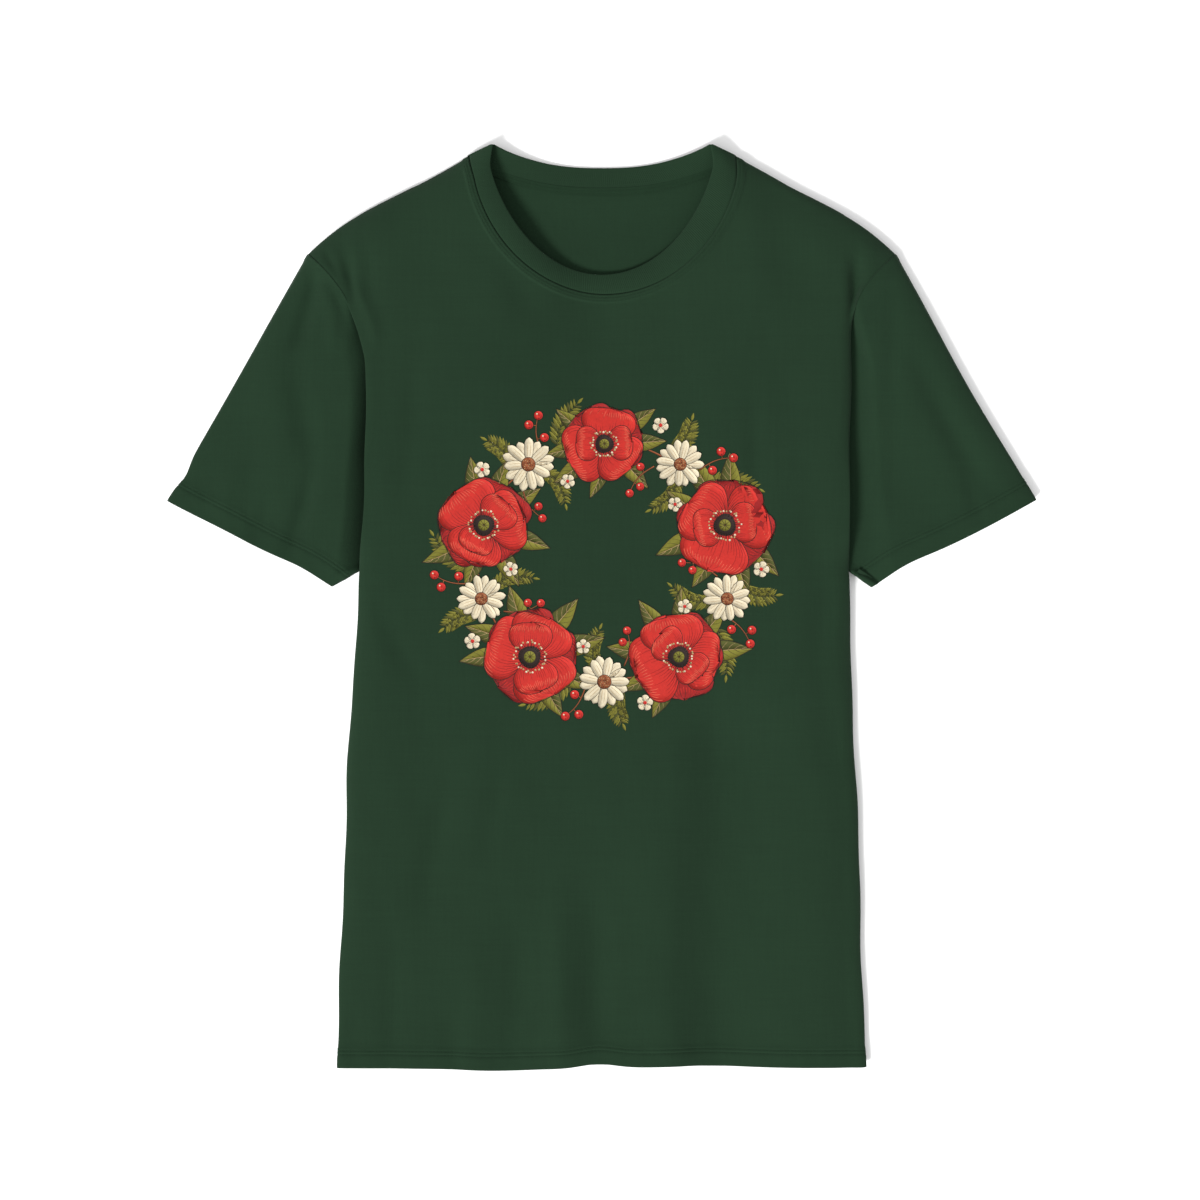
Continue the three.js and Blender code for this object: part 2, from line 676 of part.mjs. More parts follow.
// One crossing of the collar, from the neck seam to the free edge, for the +X half.
// `bulge` lifts its middle, up on the front and down on the back.
function collarFront(column) {
  const fraction = column / NECK_FRACTION;
  const seam = frontNeckAt(fraction);
  const edge = frontCollar(fraction * Math.PI / 2);
  const seamZ = Math.max(frontHeight(seam.x, seam.y), RIB_SEAM_FRONT);
  const middleZ = frontHeight(0, FRONT_NECK_Y) + RIB_FRONT_RISE;
  const edgeZ = lerp(middleZ, PEAK_FRONT_HEIGHT, smoothstep(fraction, 0, 1));
  return { seam: lift(seam, seamZ), edge: lift(edge, edgeZ), bulge: RIB_CROWN };
}

function collarFold() {
  return {
    seam: lift(NECK_SIDE, (RIB_SEAM_FRONT + RIB_SEAM_BACK) / 2),
    edge: lift(COLLAR_PEAK, (PEAK_FRONT_HEIGHT + PEAK_BACK_HEIGHT) / 2),
    bulge: 0,
  };
}

function collarBack(column) {
  const across = column / NECK_FRACTION;
  const seam = backNeck(across);
  const edge = backCollar(across);
  const seamZ = Math.min(backHeight(seam.x, seam.y) + RIB_REST, RIB_SEAM_BACK);
  const edgeZ = lerp(RIB_BACK_EDGE, PEAK_BACK_HEIGHT, across ** RIB_BACK_POWER);
  return { seam: lift(seam, seamZ), edge: lift(edge, edgeZ), bulge: 0 };
}

function collarGrid() {
  const half = [
    ...NECK_COLUMNS.map(collarFront),
    collarFold(),
    ...BACK_COLUMNS.filter((column) => column < NECK_FRACTION).reverse().map(collarBack),
  ];
  const other = half.slice(1, -1).reverse().map(({ seam, edge, bulge }) => (
    { seam: mirrorX(seam, -1), edge: mirrorX(edge, -1), bulge }
  ));
  const vertexAt = ({ seam, edge, bulge }, row) => {
    const across = row / RIB_ROWS;
    const point = seam.clone().lerp(edge, across);
    point.z += bulge * Math.sin(Math.PI * across);
    const outwards = new THREE.Vector3(seam.x - edge.x, seam.y - edge.y, 0).normalize();
    return row === 0 ? atSeam({ point }, outwards) : { point };
  };
  const crossings = [...half, ...other];
  return Array.from({ length: RIB_ROWS + 1 }, (_, row) => crossings.map((c) => vertexAt(c, row)));
}

const collar = thicken(collarGrid(), RIB, true);

// ---------------------------------------------------------------- tape, threads and ink

// Row of places on the neck tape's upper face, `offset` below the back neck seam.
function tapePlace(across, offset, z) {
  const size = Math.abs(across);
  const flat = backNeck(size).addScaledVector(topSlide(backNeck, size * NECK_FRACTION), offset);
  return new THREE.Vector3(Math.sign(across) * flat.x, flat.y, z + backHeight(flat.x, flat.y));
}

const tapeSteps = Array.from({ length: TAPE_STEPS + 1 }, (_, i) => TAPE_REACH * (2 * i / TAPE_STEPS - 1));
const TAPE_BOTTOM = CLOTH + STITCH_LIFT;
const TAPE_TOP = TAPE_BOTTOM + TAPE_THICKNESS;

function tapeGeometry() {
  const stations = tapeSteps.map((across) => [
    tapePlace(across, TAPE_START, TAPE_TOP),
    tapePlace(across, TAPE_WIDTH, TAPE_TOP),
    tapePlace(across, TAPE_WIDTH, TAPE_BOTTOM),
    tapePlace(across, TAPE_START, TAPE_BOTTOM),
  ]);
  return stripGeometry(stations);
}

function tapeStitches(offset) {
  const place = (across) => ({ point: tapePlace(across, offset, TAPE_TOP), normal: UP });
  return threadGeometry(tapeSteps.map(place));
}

// Places along one row of the front, between two column fractions.
function frontPlaces(row, reach) {
  const fractions = bothSides(FRONT_COLUMNS);
  return front[row].slice(1, -1).filter((_, column) => Math.abs(fractions[column]) <= reach);
}

const topRowIndex = (offset) => front.length - 1 - [...TOP_OFFSETS].reverse().indexOf(offset);
const hemRow = (rise) => 1 + HEM_STITCHES.indexOf(rise);

// The looper side of a coverstitch: a flat strip on the cloth's inner face, between two rows.
function looperGeometry(lower, upper) {
  const raise = (vertex, height) => vertex.inner.clone().addScaledVector(vertex.normal, -height);
  const stations = lower.map((vertex, i) => [
    raise(vertex, STITCH_LIFT),
    raise(vertex, STITCH_LIFT + THREAD_RADIUS),
    raise(upper[i], STITCH_LIFT + THREAD_RADIUS),
    raise(upper[i], STITCH_LIFT),
  ]);
  return stripGeometry(stations);
}

const cuffRing = (offset) => sleeve[SLEEVE_RINGS.length + CUFF_OFFSETS.indexOf(offset)];
const frontColumns = ARMHOLE_Y.length;
const cuffFront = (offset) => cuffRing(offset).slice(0, frontColumns);
const cuffBack = (offset) => cuffRing(offset).slice(frontColumns + 2, -2);

// A seam's overlocked edge: from each start, `across` gives its width and `thick` its thickness.
function overlockGeometry(starts, across, thick) {
  const stations = starts.map((start) => {
    const end = start.clone().add(across);
    return [start, end, end.clone().add(thick), start.clone().add(thick)];
  });
  return stripGeometry(stations);
}

function evenly([first, last], count) {
  return Array.from({ length: count + 1 }, (_, i) => lerp(first, last, i / count));
}

// Side seam allowance, lying level inwards from the seam.
function sideOverlock() {
  const rows = front.slice(0, ARMPIT_ROW - 1);
  const clearance = new THREE.Vector3(-OVERLOCK_CLEARANCE, 0, 0);
  const starts = rows.map((line) => line.at(-1).inner.clone().add(clearance));
  const across = new THREE.Vector3(-OVERLOCK_WIDTH, 0, 0);
  return overlockGeometry(starts, across, new THREE.Vector3(0, 0, OVERLOCK_THICKNESS));
}

const [armholeSpanStart, armholeSpanEnd] = ARMHOLE_OVERLOCK_SPAN;
const armholeSpanY = ARMHOLE_Y.filter((y) => y > armholeSpanStart && y < armholeSpanEnd);

// Armhole allowance of the front: it stands against the inside of the sleeve's wall.
function armholeOverlockFront() {
  const inside = (vertex, depth) => vertex.inner.clone().addScaledVector(vertex.normal, -depth);
  const columns = armholeSpanY.map((y) => ARMHOLE_Y.indexOf(y));
  const nearDepth = STITCH_LIFT;
  const farDepth = STITCH_LIFT + OVERLOCK_THICKNESS;
  return stripGeometry(columns.map((column) => [
    inside(sleeve[0][column], nearDepth),
    inside(sleeve[1][column], nearDepth),
    inside(sleeve[1][column], farDepth),
    inside(sleeve[0][column], farDepth),
  ]));
}

// Armhole allowance of the back: it lies on the inside of the sleeve's back.
function armholeOverlockBack() {
  const starts = armholeSpanY.map((y) => (
    new THREE.Vector3(sideX(y) + OVERLOCK_CLEARANCE, y, backHeight(sideX(y), y) + CLOTH + STITCH_LIFT)
  ));
  const across = new THREE.Vector3(OVERLOCK_WIDTH, 0, 0);
  return overlockGeometry(starts, across, new THREE.Vector3(0, 0, OVERLOCK_THICKNESS));
}

// Shoulder allowance, lying level inwards from the seam.
function shoulderOverlock() {
  const inwards = lift(SHOULDER_NORMAL.clone().negate(), 0);
  const starts = evenly(SHOULDER_OVERLOCK_SPAN, OVERLOCK_STEPS).map((along) => (
    lift(shoulderPoint(along), SHOULDER_FOLD_HEIGHT).addScaledVector(inwards, OVERLOCK_INSET)
  ));
  const across = inwards.clone().setLength(OVERLOCK_WIDTH);
  return overlockGeometry(starts, across, new THREE.Vector3(0, 0, -OVERLOCK_THICKNESS));
}

// Underarm allowance of a sleeve, lying level inwards from its lower fold.
function underarmOverlock() {
  const run = new THREE.Vector2().subVectors(CUFF_BOTTOM, ARMPIT).normalize();
  const inwards = new THREE.Vector3(-run.y, run.x, 0);
  const starts = evenly(UNDERARM_OVERLOCK_SPAN, OVERLOCK_STEPS).map((w) => (
    lift(sleevePlan(1, w), SLEEVE_FOLD_HEIGHT).addScaledVector(inwards, OVERLOCK_INSET)
  ));
  const across = inwards.clone().setLength(OVERLOCK_WIDTH);
  return overlockGeometry(starts, across, new THREE.Vector3(0, 0, -OVERLOCK_THICKNESS));
}

// ---------------------------------------------------------------- chest print

function printGrid() {
  return PRINT_RADII.map((radius) => Array.from({ length: PRINT_SECTORS }, (_, sector) => {
    const angle = 2 * Math.PI * sector / PRINT_SECTORS;
    const x = PRINT_CENTRE.x + radius * Math.cos(angle);
    const y = PRINT_CENTRE.y + radius * Math.sin(angle);
    return { point: new THREE.Vector3(x, y, frontHeight(x, y) + STITCH_LIFT + INK) };
  }));
}

// ---------------------------------------------------------------- assembly

const shirt = new THREE.Group();

function addPiece(name, geometry, color, roughness = 0.9) {
  const material = new THREE.MeshStandardMaterial({ color, roughness, metalness: 0 });
  const mesh = new THREE.Mesh(geometry, material);
  mesh.name = name;
  shirt.add(mesh);
}

// Adds a piece of the wearer's left side, and its mirror image on the right.
function addPair(name, geometry, color) {
  addPiece(`left_${name}`, geometry, color);
  addPiece(`right_${name}`, mirrored(geometry), color);
}

addPiece('front_panel', sheetGeometry(front), SHIRT_GREEN);
addPiece('back_panel', sheetGeometry(back), SHIRT_GREEN);
addPair('sleeve', sheetGeometry(sleeve, true), SLEEVE_GREEN);
addPiece('neck_rib', sheetGeometry(collar, true), SHIRT_GREEN);
addPiece('neck_tape', tapeGeometry(), TAPE_GREEN);
addPiece('neck_tape_stitch_upper', tapeStitches(TAPE_START + TAPE_EDGE_STITCH), THREAD_GREEN);
addPiece('neck_tape_stitch_lower', tapeStitches(TAPE_WIDTH - TAPE_EDGE_STITCH), THREAD_GREEN);

const neckPlaces = (offset) => frontPlaces(topRowIndex(offset), NECK_FRACTION);
addPiece('collar_topstitch_inner', threadGeometry(neckPlaces(FIRST_STITCH)), THREAD_GREEN);
addPiece('collar_topstitch_outer', threadGeometry(neckPlaces(SECOND_STITCH)), THREAD_GREEN);

const [lowerHem, upperHem] = HEM_STITCHES.map(hemRow);
addPiece('hem_topstitch_lower', threadGeometry(frontPlaces(lowerHem, 1)), THREAD_GREEN);
addPiece('hem_topstitch_upper', threadGeometry(frontPlaces(upperHem, 1)), THREAD_GREEN);
const insideHem = (row) => back[row].slice(2, -2);
addPiece('back_hem_coverstitch', looperGeometry(insideHem(lowerHem), insideHem(upperHem)), THREAD_GREEN);

const [lowerCuff, upperCuff] = CUFF_STITCHES;
addPair('cuff_topstitch_lower', threadGeometry(cuffFront(lowerCuff)), THREAD_GREEN);
addPair('cuff_topstitch_upper', threadGeometry(cuffFront(upperCuff)), THREAD_GREEN);
addPair('cuff_coverstitch', looperGeometry(cuffBack(lowerCuff), cuffBack(upperCuff)), THREAD_GREEN);

addPair('side_overlock', sideOverlock(), THREAD_GREEN);
addPair('armhole_overlock_front', armholeOverlockFront(), THREAD_GREEN);
addPair('armhole_overlock_back', armholeOverlockBack(), THREAD_GREEN);
addPair('shoulder_overlock', shoulderOverlock(), THREAD_GREEN);
addPair('underarm_overlock', underarmOverlock(), THREAD_GREEN);

addPiece('chest_print', sheetGeometry(thicken(printGrid(), INK, true), true), PRINT_RED);

export default shirt;
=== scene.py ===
"""A crew-neck T-shirt with short set-in sleeves, laid flat with its front facing up.

Lengths are in millimetres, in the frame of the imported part: +X is the wearer's left, +Y runs
from the hem to the collar and +Z is up. A mesh is stored in metres when it is made.
"""

import math

import bpy
import numpy as np
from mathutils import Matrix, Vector


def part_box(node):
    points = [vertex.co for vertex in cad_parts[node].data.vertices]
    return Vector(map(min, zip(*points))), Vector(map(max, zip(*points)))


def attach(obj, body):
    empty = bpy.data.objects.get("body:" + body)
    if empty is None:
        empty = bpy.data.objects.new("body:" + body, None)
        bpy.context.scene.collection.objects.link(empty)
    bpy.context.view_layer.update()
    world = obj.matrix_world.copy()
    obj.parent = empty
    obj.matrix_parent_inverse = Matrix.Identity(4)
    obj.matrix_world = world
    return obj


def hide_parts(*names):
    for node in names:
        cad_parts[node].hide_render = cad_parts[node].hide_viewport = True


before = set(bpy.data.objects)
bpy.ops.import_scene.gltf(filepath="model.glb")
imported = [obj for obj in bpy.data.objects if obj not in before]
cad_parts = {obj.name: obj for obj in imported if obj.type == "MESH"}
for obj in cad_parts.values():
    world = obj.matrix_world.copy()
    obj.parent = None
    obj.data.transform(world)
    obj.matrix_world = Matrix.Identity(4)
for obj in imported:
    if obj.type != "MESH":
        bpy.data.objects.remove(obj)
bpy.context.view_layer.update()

METRES = 0.001


def corners(node):
    low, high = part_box(node)
    return np.array(low) / METRES, np.array(high) / METRES


# ---------------------------------------------------------------- sizes of the shirt

front_low, front_high = corners("front_panel")
sleeve_low, sleeve_high = corners("left_sleeve")
rib_high = corners("neck_rib")[1]
print_low, print_high = corners("chest_print")

HEM_Y = front_low[1]
HEM_HALF_WIDTH = 211.5
ARMPIT = np.array([196.5, 28.0])
SHOULDER = np.array([236.0, 281.0])
NECK_SIDE = np.array([107.0, front_high[1]])
CUFF_TOP = np.array([sleeve_high[0], 84.0])
CUFF_BOTTOM = np.array([216.5, sleeve_low[1]])
SIDE_FLARE_POWER = 0.85
SHOULDER_BOW = 6.5
ARMHOLE_LEAN = 1.5
ARMHOLE_BEND_Y = 215.0
ARMHOLE_BEND_POWER = 2.2

FRONT_NECK_Y = 249.0
FRONT_NECK_POWER = 1.86
BACK_NECK_Y = 334.5
BACK_NECK_POWER = 2.3
NECK_SHIFT = 3.0
COLLAR_PEAK = np.array([87.2, rib_high[1]])
COLLAR_WIDEST = 91.0
FRONT_COLLAR_Y = 265.5
FRONT_COLLAR_POWER = 1.73
BACK_COLLAR_Y = 351.0
BACK_COLLAR_POWER = 2.5
BACK_PEAK = np.array([86.0, rib_high[1]])

PRINT_CENTRE = (print_low[:2] + print_high[:2]) / 2
PRINT_REACH = (print_high[0] - print_low[0]) / 2

# Heights of the outer face over the surface that the shirt lies on.
HEM_HEIGHT = 12.5
CHEST_HEIGHT = front_high[2]
NECK_HEIGHT = 15.0
NECK_DIP = 9.0
NECK_DIP_WIDTH = 58.0
SIDE_FOLD_HEIGHT = {1: 4.9, -1: 10.0}
SIDE_FOLD_RISE = {1: 1.0, -1: 2.5}
ARMHOLE_FOLD_HEIGHT = {1: 14.5, -1: 17.2}
SHOULDER_FOLD_HEIGHT = 4.6
SIDE_ROUNDING = {1: 1.45, -1: 3.2}
SIDE_REACH = 32.0
SHOULDER_WIDTH = {1: 42.0, -1: 31.0}
SLEEVE_HEIGHT = sleeve_high[2]
CUFF_HEIGHT = 10.5
SLEEVE_FOLD_HEIGHT = 6.0
SIDE_SEAM_HEIGHT = 4.2
ARMPIT_SEAM_HEIGHT = 5.0
ARMHOLE_SEAM_LOW = {1: 3.4, -1: 2.1}
ARMHOLE_SEAM_HIGH = {1: 5.0, -1: 7.6}
SIDE_SEAM_INSET = 3.6
BACK_CURL = 20.0
BACK_NECK_REACH = 34.0

# The +X sleeve lies close beside the body; the other one slopes down to it, and there the
# body's edge is drawn in a little. A dip is how the sleeve goes down to the armhole seam: flat
# beside the body first, then rising over a width, each at the top and bottom of the armhole.
OVERHANG = {1: 1.6, -1: 1.2}
DIP_FLAT_TOP = {1: 9.0, -1: 1.0}
DIP_FLAT_BOTTOM = {1: 14.0, -1: 1.0}
DIP_WIDTH_TOP = {1: 24.0, -1: 19.0}
DIP_WIDTH_BOTTOM = {1: 42.0, -1: 25.0}
SLEEVE_FLATTER = {1: 6.0, -1: 0.0}
FLANK_WIDTH = 10.0
FLANK_DROP = {1: 6.0, -1: 1.5}
TAIL_X = 203.0
TAIL_DEPTH = {1: 7.0, -1: 0.6}
TAIL_WIDTH = 5.4

# Spans of Y: where something sets in, and for a band also where it fades out.
SIDE_WAVE_END = (230, 262)
TUCK_END = (190, 240)
GROOVE_END = (212, 246)
SEAM_RISE = (130, 215)
DIP_SPAN = (40, 225)
OVERHANG_BAND = ((0, 50), (225, 258))
FLANK_BAND = ((80, 185), (222, 246))
TAIL_BAND = ((214, 240), (262, 292))
NECK_SHIFT_BAND = ((190, 245), (338, 366))
ARMPIT_NEAR = -60.0
ARMPIT_END = ARMPIT[1] + 12
ARMHOLE_START = 62.0

# Small waves of the body's sides: height, length and shift. Tucks that draw in the -X side:
# depth and the span of Y over which each sets in.
SIDE_WAVES = [(0.7, 31, 1.3), (0.4, 13, 1)]
TUCKS = [(2.4, -150, -40), (7.3, 0, 105)]

BOTH_SIDES = ((1, "left"), (-1, "right"))
UP = np.array([0, 0, 1.0])
FAR = 1e3

# Cloth, hems and stitches.
CLOTH = 0.75
RIB = 1.3
SEAM_GAP = 0.03
HEM_STITCHES = [11.0, 14.0]
CUFF_STITCHES = [15.0, 18.0]
NECK_STITCHES = [2.4, 5.0]
STITCH_PITCH = 2.9
STITCH_LENGTH = 2.35
THREAD = 0.23
RIB_PITCH = 1.5
RIB_RELIEF = 0.13
OVERLOCK_WIDTH = 5.0
OVERLOCK_HEIGHT = 1.1


# ---------------------------------------------------------------- small helpers

def smooth(value, low, high):
    t = np.clip((value - low) / (high - low), 0, 1)
    return t * t * (3 - 2 * t)


def band(value, start, end):
    """1 between two spans, 0 outside them and eased across each."""
    return smooth(value, *start) * (1 - smooth(value, *end))


def mix(a, b, t):
    return a + (b - a) * t


def rounding(distance, width, power):
    across = np.clip(distance / width, 0, 1)
    return np.sqrt(1 - (1 - across) ** power)


def curl(distance, height):
    across = np.clip(distance / BACK_CURL, 0, 1)
    return height * (1 - np.sqrt(1 - (1 - across) ** 2))


def bell(distance, width):
    return np.exp(-(distance / width) ** 2)


def eased(count, low=0.0, high=math.pi):
    """Shares from 0 to 1 that lie close together near both ends."""
    return 0.5 - 0.5 * np.cos(np.linspace(low, high, count))


def heading(angle):
    """Unit ways in plan at an angle, or at each of several."""
    return np.stack([np.cos(angle), np.sin(angle)], -1)


def unit(vectors):
    return vectors / np.maximum(np.linalg.norm(vectors, axis=-1, keepdims=True), 1e-9)


def arc_length(points):
    """How far along a line each of its points lies."""
    lengths = np.linalg.norm(np.diff(points, axis=0), axis=1)
    return np.concatenate([[0], np.cumsum(lengths)])


def folded_edge(distance, radius):
    """How far the face sinks towards a rounded edge, at that distance from it."""
    left = np.clip(radius - distance, 0, radius)
    return radius - np.sqrt(np.maximum(radius ** 2 - left ** 2, 0))


def ripple(x, y, wavelength, seed):
    """A smooth wavy field between about -1 and 1, the same on each run."""
    turns = np.array([0.3, 1.25, 2.2, 2.9, 0.8, 1.75]) + 0.37 * seed
    total = 0.0
    for k, turn in enumerate(turns):
        length = wavelength * (0.72 + 0.13 * k)
        along = x * math.cos(turn) + y * math.sin(turn)
        across = y * math.cos(turn) - x * math.sin(turn)
        bent = along + 0.25 * length * np.sin(across / length * 2.1 + seed + k)
        total = total + np.sin(2 * math.pi * bent / length + 1.7 * k * seed + k)
    return total / 3.2


# ---------------------------------------------------------------- outline

def side_x(y, sign):
    """Half width of the body: the side fold below the armpit, the armhole seam above it."""
    y = np.asarray(y, float)
    down = np.clip((ARMPIT[1] - y) / (ARMPIT[1] - HEM_Y), 0, 1)
    up = np.clip((y - ARMPIT[1]) / (SHOULDER[1] - ARMPIT[1]), 0, 1)
    bend = np.maximum(0, (y - ARMHOLE_BEND_Y) / (SHOULDER[1] - ARMHOLE_BEND_Y))
    flare = (HEM_HALF_WIDTH - ARMPIT[0]) * down ** SIDE_FLARE_POWER
    reach = SHOULDER[0] - ARMPIT[0] - ARMHOLE_LEAN
    x = ARMPIT[0] + flare + ARMHOLE_LEAN * up + reach * bend ** ARMHOLE_BEND_POWER
    wave = sum(height * np.sin(y / length + shift * sign) for height, length, shift in SIDE_WAVES)
    wave = wave * (1 - smooth(y, *SIDE_WAVE_END))
    tuck = sum(depth * smooth(y, low, high) for depth, low, high in TUCKS)
    tuck = tuck * (1 - smooth(y, *TUCK_END))
    return x + wave - tuck * (np.asarray(sign) < 0)


def per_side(values, sign):
    return np.where(np.asarray(sign) < 0, values[-1], values[1])


def groove(y):
    """1 where the sleeve lies in a groove beside the body, 0 up at the shoulder."""
    return 1 - smooth(y, *GROOVE_END)


def near_armpit(y):
    """0 down the side, rising to 1 at the armpit."""
    return smooth(y, ARMPIT_NEAR, ARMPIT[1])


def in_armhole(y):
    """0 at the armpit, rising to 1 just above it."""
    return smooth(y, ARMPIT[1], ARMPIT_END)


def seam_round(y):
    """How round the cloth is beside the armhole seam: tight where the seam lies flat."""
    return mix(0.12, 0.45, groove(y))


def overhang(y, sign):
    return per_side(OVERHANG, sign) * band(y, *OVERHANG_BAND)


def seam_inset(y):
    return SIDE_SEAM_INSET * (1 - near_armpit(y))


SHOULDER_RUN = (SHOULDER - NECK_SIDE) / np.linalg.norm(SHOULDER - NECK_SIDE)
SHOULDER_NORMAL = np.array([-SHOULDER_RUN[1], SHOULDER_RUN[0]])
SHOULDER_LENGTH = np.linalg.norm(SHOULDER - NECK_SIDE)


def shoulder_point(along):
    x = mix(NECK_SIDE[0], SHOULDER[0], along)
    y = mix(NECK_SIDE[1], SHOULDER[1], along)
    return x, y + SHOULDER_BOW * np.sin(np.pi * np.clip(along, 0, 1) ** 2)


def shoulder_distance(x, y):
    from_x, from_y = np.abs(x) - NECK_SIDE[0], y - NECK_SIDE[1]
    along = np.clip((from_x * SHOULDER_RUN[0] + from_y * SHOULDER_RUN[1]) / SHOULDER_LENGTH, 0, 1)
    bow = SHOULDER_BOW * np.sin(np.pi * along ** 2) * SHOULDER_NORMAL[1]
    return np.maximum(0, bow - from_x * SHOULDER_NORMAL[0] - from_y * SHOULDER_NORMAL[1])


def u_curve(side, bottom_y, power, fraction):
    angle = fraction * math.pi / 2
    x = side[0] * np.sin(angle)
    y = side[1] - (side[1] - bottom_y) * np.maximum(np.cos(angle), 0) ** (2 / power)
    return x, y


def shallow_curve(side, middle_y, power, fraction):
    return side[0] * fraction, middle_y + (side[1] - middle_y) * fraction ** power


def front_neck(fraction):
    return u_curve(NECK_SIDE, FRONT_NECK_Y, FRONT_NECK_POWER, fraction)


def front_collar(fraction):
    widest = np.array([COLLAR_WIDEST, COLLAR_PEAK[1]])
    x, y = u_curve(widest, FRONT_COLLAR_Y, FRONT_COLLAR_POWER, fraction)
    return x - (COLLAR_WIDEST - COLLAR_PEAK[0]) * smooth(fraction, 0.84, 1), y


def neck_shift(x, y):
    """How far the front's neck seam lies to +X of the middle; nothing near the shoulders."""
    return NECK_SHIFT * band(y, *NECK_SHIFT_BAND) * (1 - smooth(np.abs(x), 112, 165))


def back_neck(fraction):
    return shallow_curve(NECK_SIDE, BACK_NECK_Y, BACK_NECK_POWER, fraction)


def back_collar(fraction):
    return shallow_curve(BACK_PEAK, BACK_COLLAR_Y, BACK_COLLAR_POWER, fraction)


# ---------------------------------------------------------------- folds of the cloth

CREASE_STRENGTH = 2.1
CREASE_BAND = ((-0.1, 0.5), (0.72, 1.14))
LONG_FOLD_DEPTH = 8.0
LONG_FOLD_START = (50, 125)
LONG_FOLD_FALL = (52, 96)
LONG_FOLD_RETURN = (96, 172)

# Each crease runs from one point to another: x, y, x, y, how far it bows to its left, how wide
# it is, and how high it stands (below 0 for a valley).
FRONT_CREASES = [
    (46, -95, 42, -376, 2, 22, 0.8),
    (160, 150, 178, -140, 4, 13, -1.6),
    (-72, -112, -94, -205, -3, 9, -0.8),
    (-106, -100, -142, -250, -6, 11, -1.2),
    (-166, -240, -171, -376, 2, 9, -0.7),
    (-32, -215, -33, -376, -2, 13, 1.7),
    (-4, -215, -5, -376, 1, 13, -1.6),
    (-98, -255, -104, -376, 0, 12, 0.8),
    (-68, -235, -74, -376, 3, 12, -1.0),
    (-120, -320, -117, -376, 0, 8, -0.5),
    (-150, 235, -160, 80, 4, 10, -0.8),
    (122, 200, 128, 50, -3, 8, -0.8),
    (124, 352, 158, 240, 5, 19, -1.2),
    (-208, 294, -199, 232, 2, 4, -1.3),
    (-200, 262, -180, 205, 3, 6, 0.8),
    (-222, 287, -212, 248, 2, 3.5, -0.8),
    (-190, 300, -186, 236, 2, 6, -0.7),
    (190, 24, 146, -70, 5, 9, -0.7),
    (-184, 26, -146, -60, -5, 9, -0.6),
    (-110, 300, -60, 232, 6, 12, -0.7),
]
SLEEVE_CREASES = {
    1: [
        (240, 222, 318, 78, -4, 10, -1.25),
        (262, 240, 334, 108, 0, 15, 0.35),
        (206, 240, 232, 268, 3, 3.5, 0.9),
        (212, 226, 240, 262, 3, 4.5, -0.7),
        (219, 200, 223, 60, 0, 9, 0.8),
        (232, 262, 229, 160, 2, 8, -0.9),
        (290, 110, 300, 66, 2, 7, -0.8),
    ],
    -1: [
        (-229, 282, -246, 205, 4, 6, -1.8),
        (-244, 205, -228, 108, -3, 10, -1.0),
        (-230, 118, -252, 42, 3, 7, -1.9),
        (-264, 225, -262, 95, 4, 17, 0.9),
        (-285, 120, -305, 70, -2, 10, 0.9),
        (-262, 90, -284, 52, 2, 6, -0.9),
        (-222, 262, -215, 205, 3, 6, 0.8),
    ],
}


def creases(x, y, folds):
    total = np.zeros(np.broadcast(x, y).shape)
    for x0, y0, x1, y1, bow, width, height in folds:
        run_x, run_y = x1 - x0, y1 - y0
        length = math.hypot(run_x, run_y)
        along = ((x - x0) * run_x + (y - y0) * run_y) / length ** 2
        across = ((y - y0) * run_x - (x - x0) * run_y) / length
        across = across - bow * 4 * along * (1 - along)
        ends = band(along, *CREASE_BAND)
        total = total + CREASE_STRENGTH * height * ends * bell(across, width)
    return total


def long_fold(x, y):
    """The broad fold down the front's +X half, where the cloth drops from a ridge."""
    drop = smooth(x, *LONG_FOLD_FALL) * (1 - 0.75 * smooth(x, *LONG_FOLD_RETURN))
    return -LONG_FOLD_DEPTH * drop * smooth(-y, *LONG_FOLD_START)


def drape(x, y):
    """Soft folds of the front, calmer under the stiff print."""
    soft = 0.8 * ripple(x, y * 0.45, 84, 1) + 0.2 * ripple(x, y * 0.5, 37, 2)
    from_print = np.hypot(x - PRINT_CENTRE[0], y - PRINT_CENTRE[1])
    calm = mix(0.3, 1, smooth(from_print, 0.75 * PRINT_REACH, 1.2 * PRINT_REACH))
    return creases(x, y, FRONT_CREASES) + long_fold(x, y) + soft * calm


# ---------------------------------------------------------------- heights of the cloth

def crown(y):
    body = mix(HEM_HEIGHT, CHEST_HEIGHT, smooth(y, HEM_Y, HEM_Y + 260))
    return mix(body, NECK_HEIGHT, smooth(y, 60, 290))


def puff(x, y):
    """Height of the front without its sides."""
    sign = np.where(x < 0, -1, 1)
    from_shoulder = rounding(shoulder_distance(x, y), per_side(SHOULDER_WIDTH, sign), 2.0)
    above = y - FRONT_NECK_Y + 8
    above = np.where(above < 0, 0.6 * above, above)
    sunk = NECK_DIP * bell(np.hypot(x, above), NECK_DIP_WIDTH)
    return SHOULDER_FOLD_HEIGHT + (crown(y) - SHOULDER_FOLD_HEIGHT) * from_shoulder - sunk


def side_low(y, sign):
    side = per_side(SIDE_FOLD_HEIGHT, sign)
    armpit = side + per_side(SIDE_FOLD_RISE, sign) * near_armpit(y)
    armhole = per_side(ARMHOLE_FOLD_HEIGHT, sign)
    return mix(armpit, armhole, smooth(y, ARMPIT[1], ARMHOLE_START))


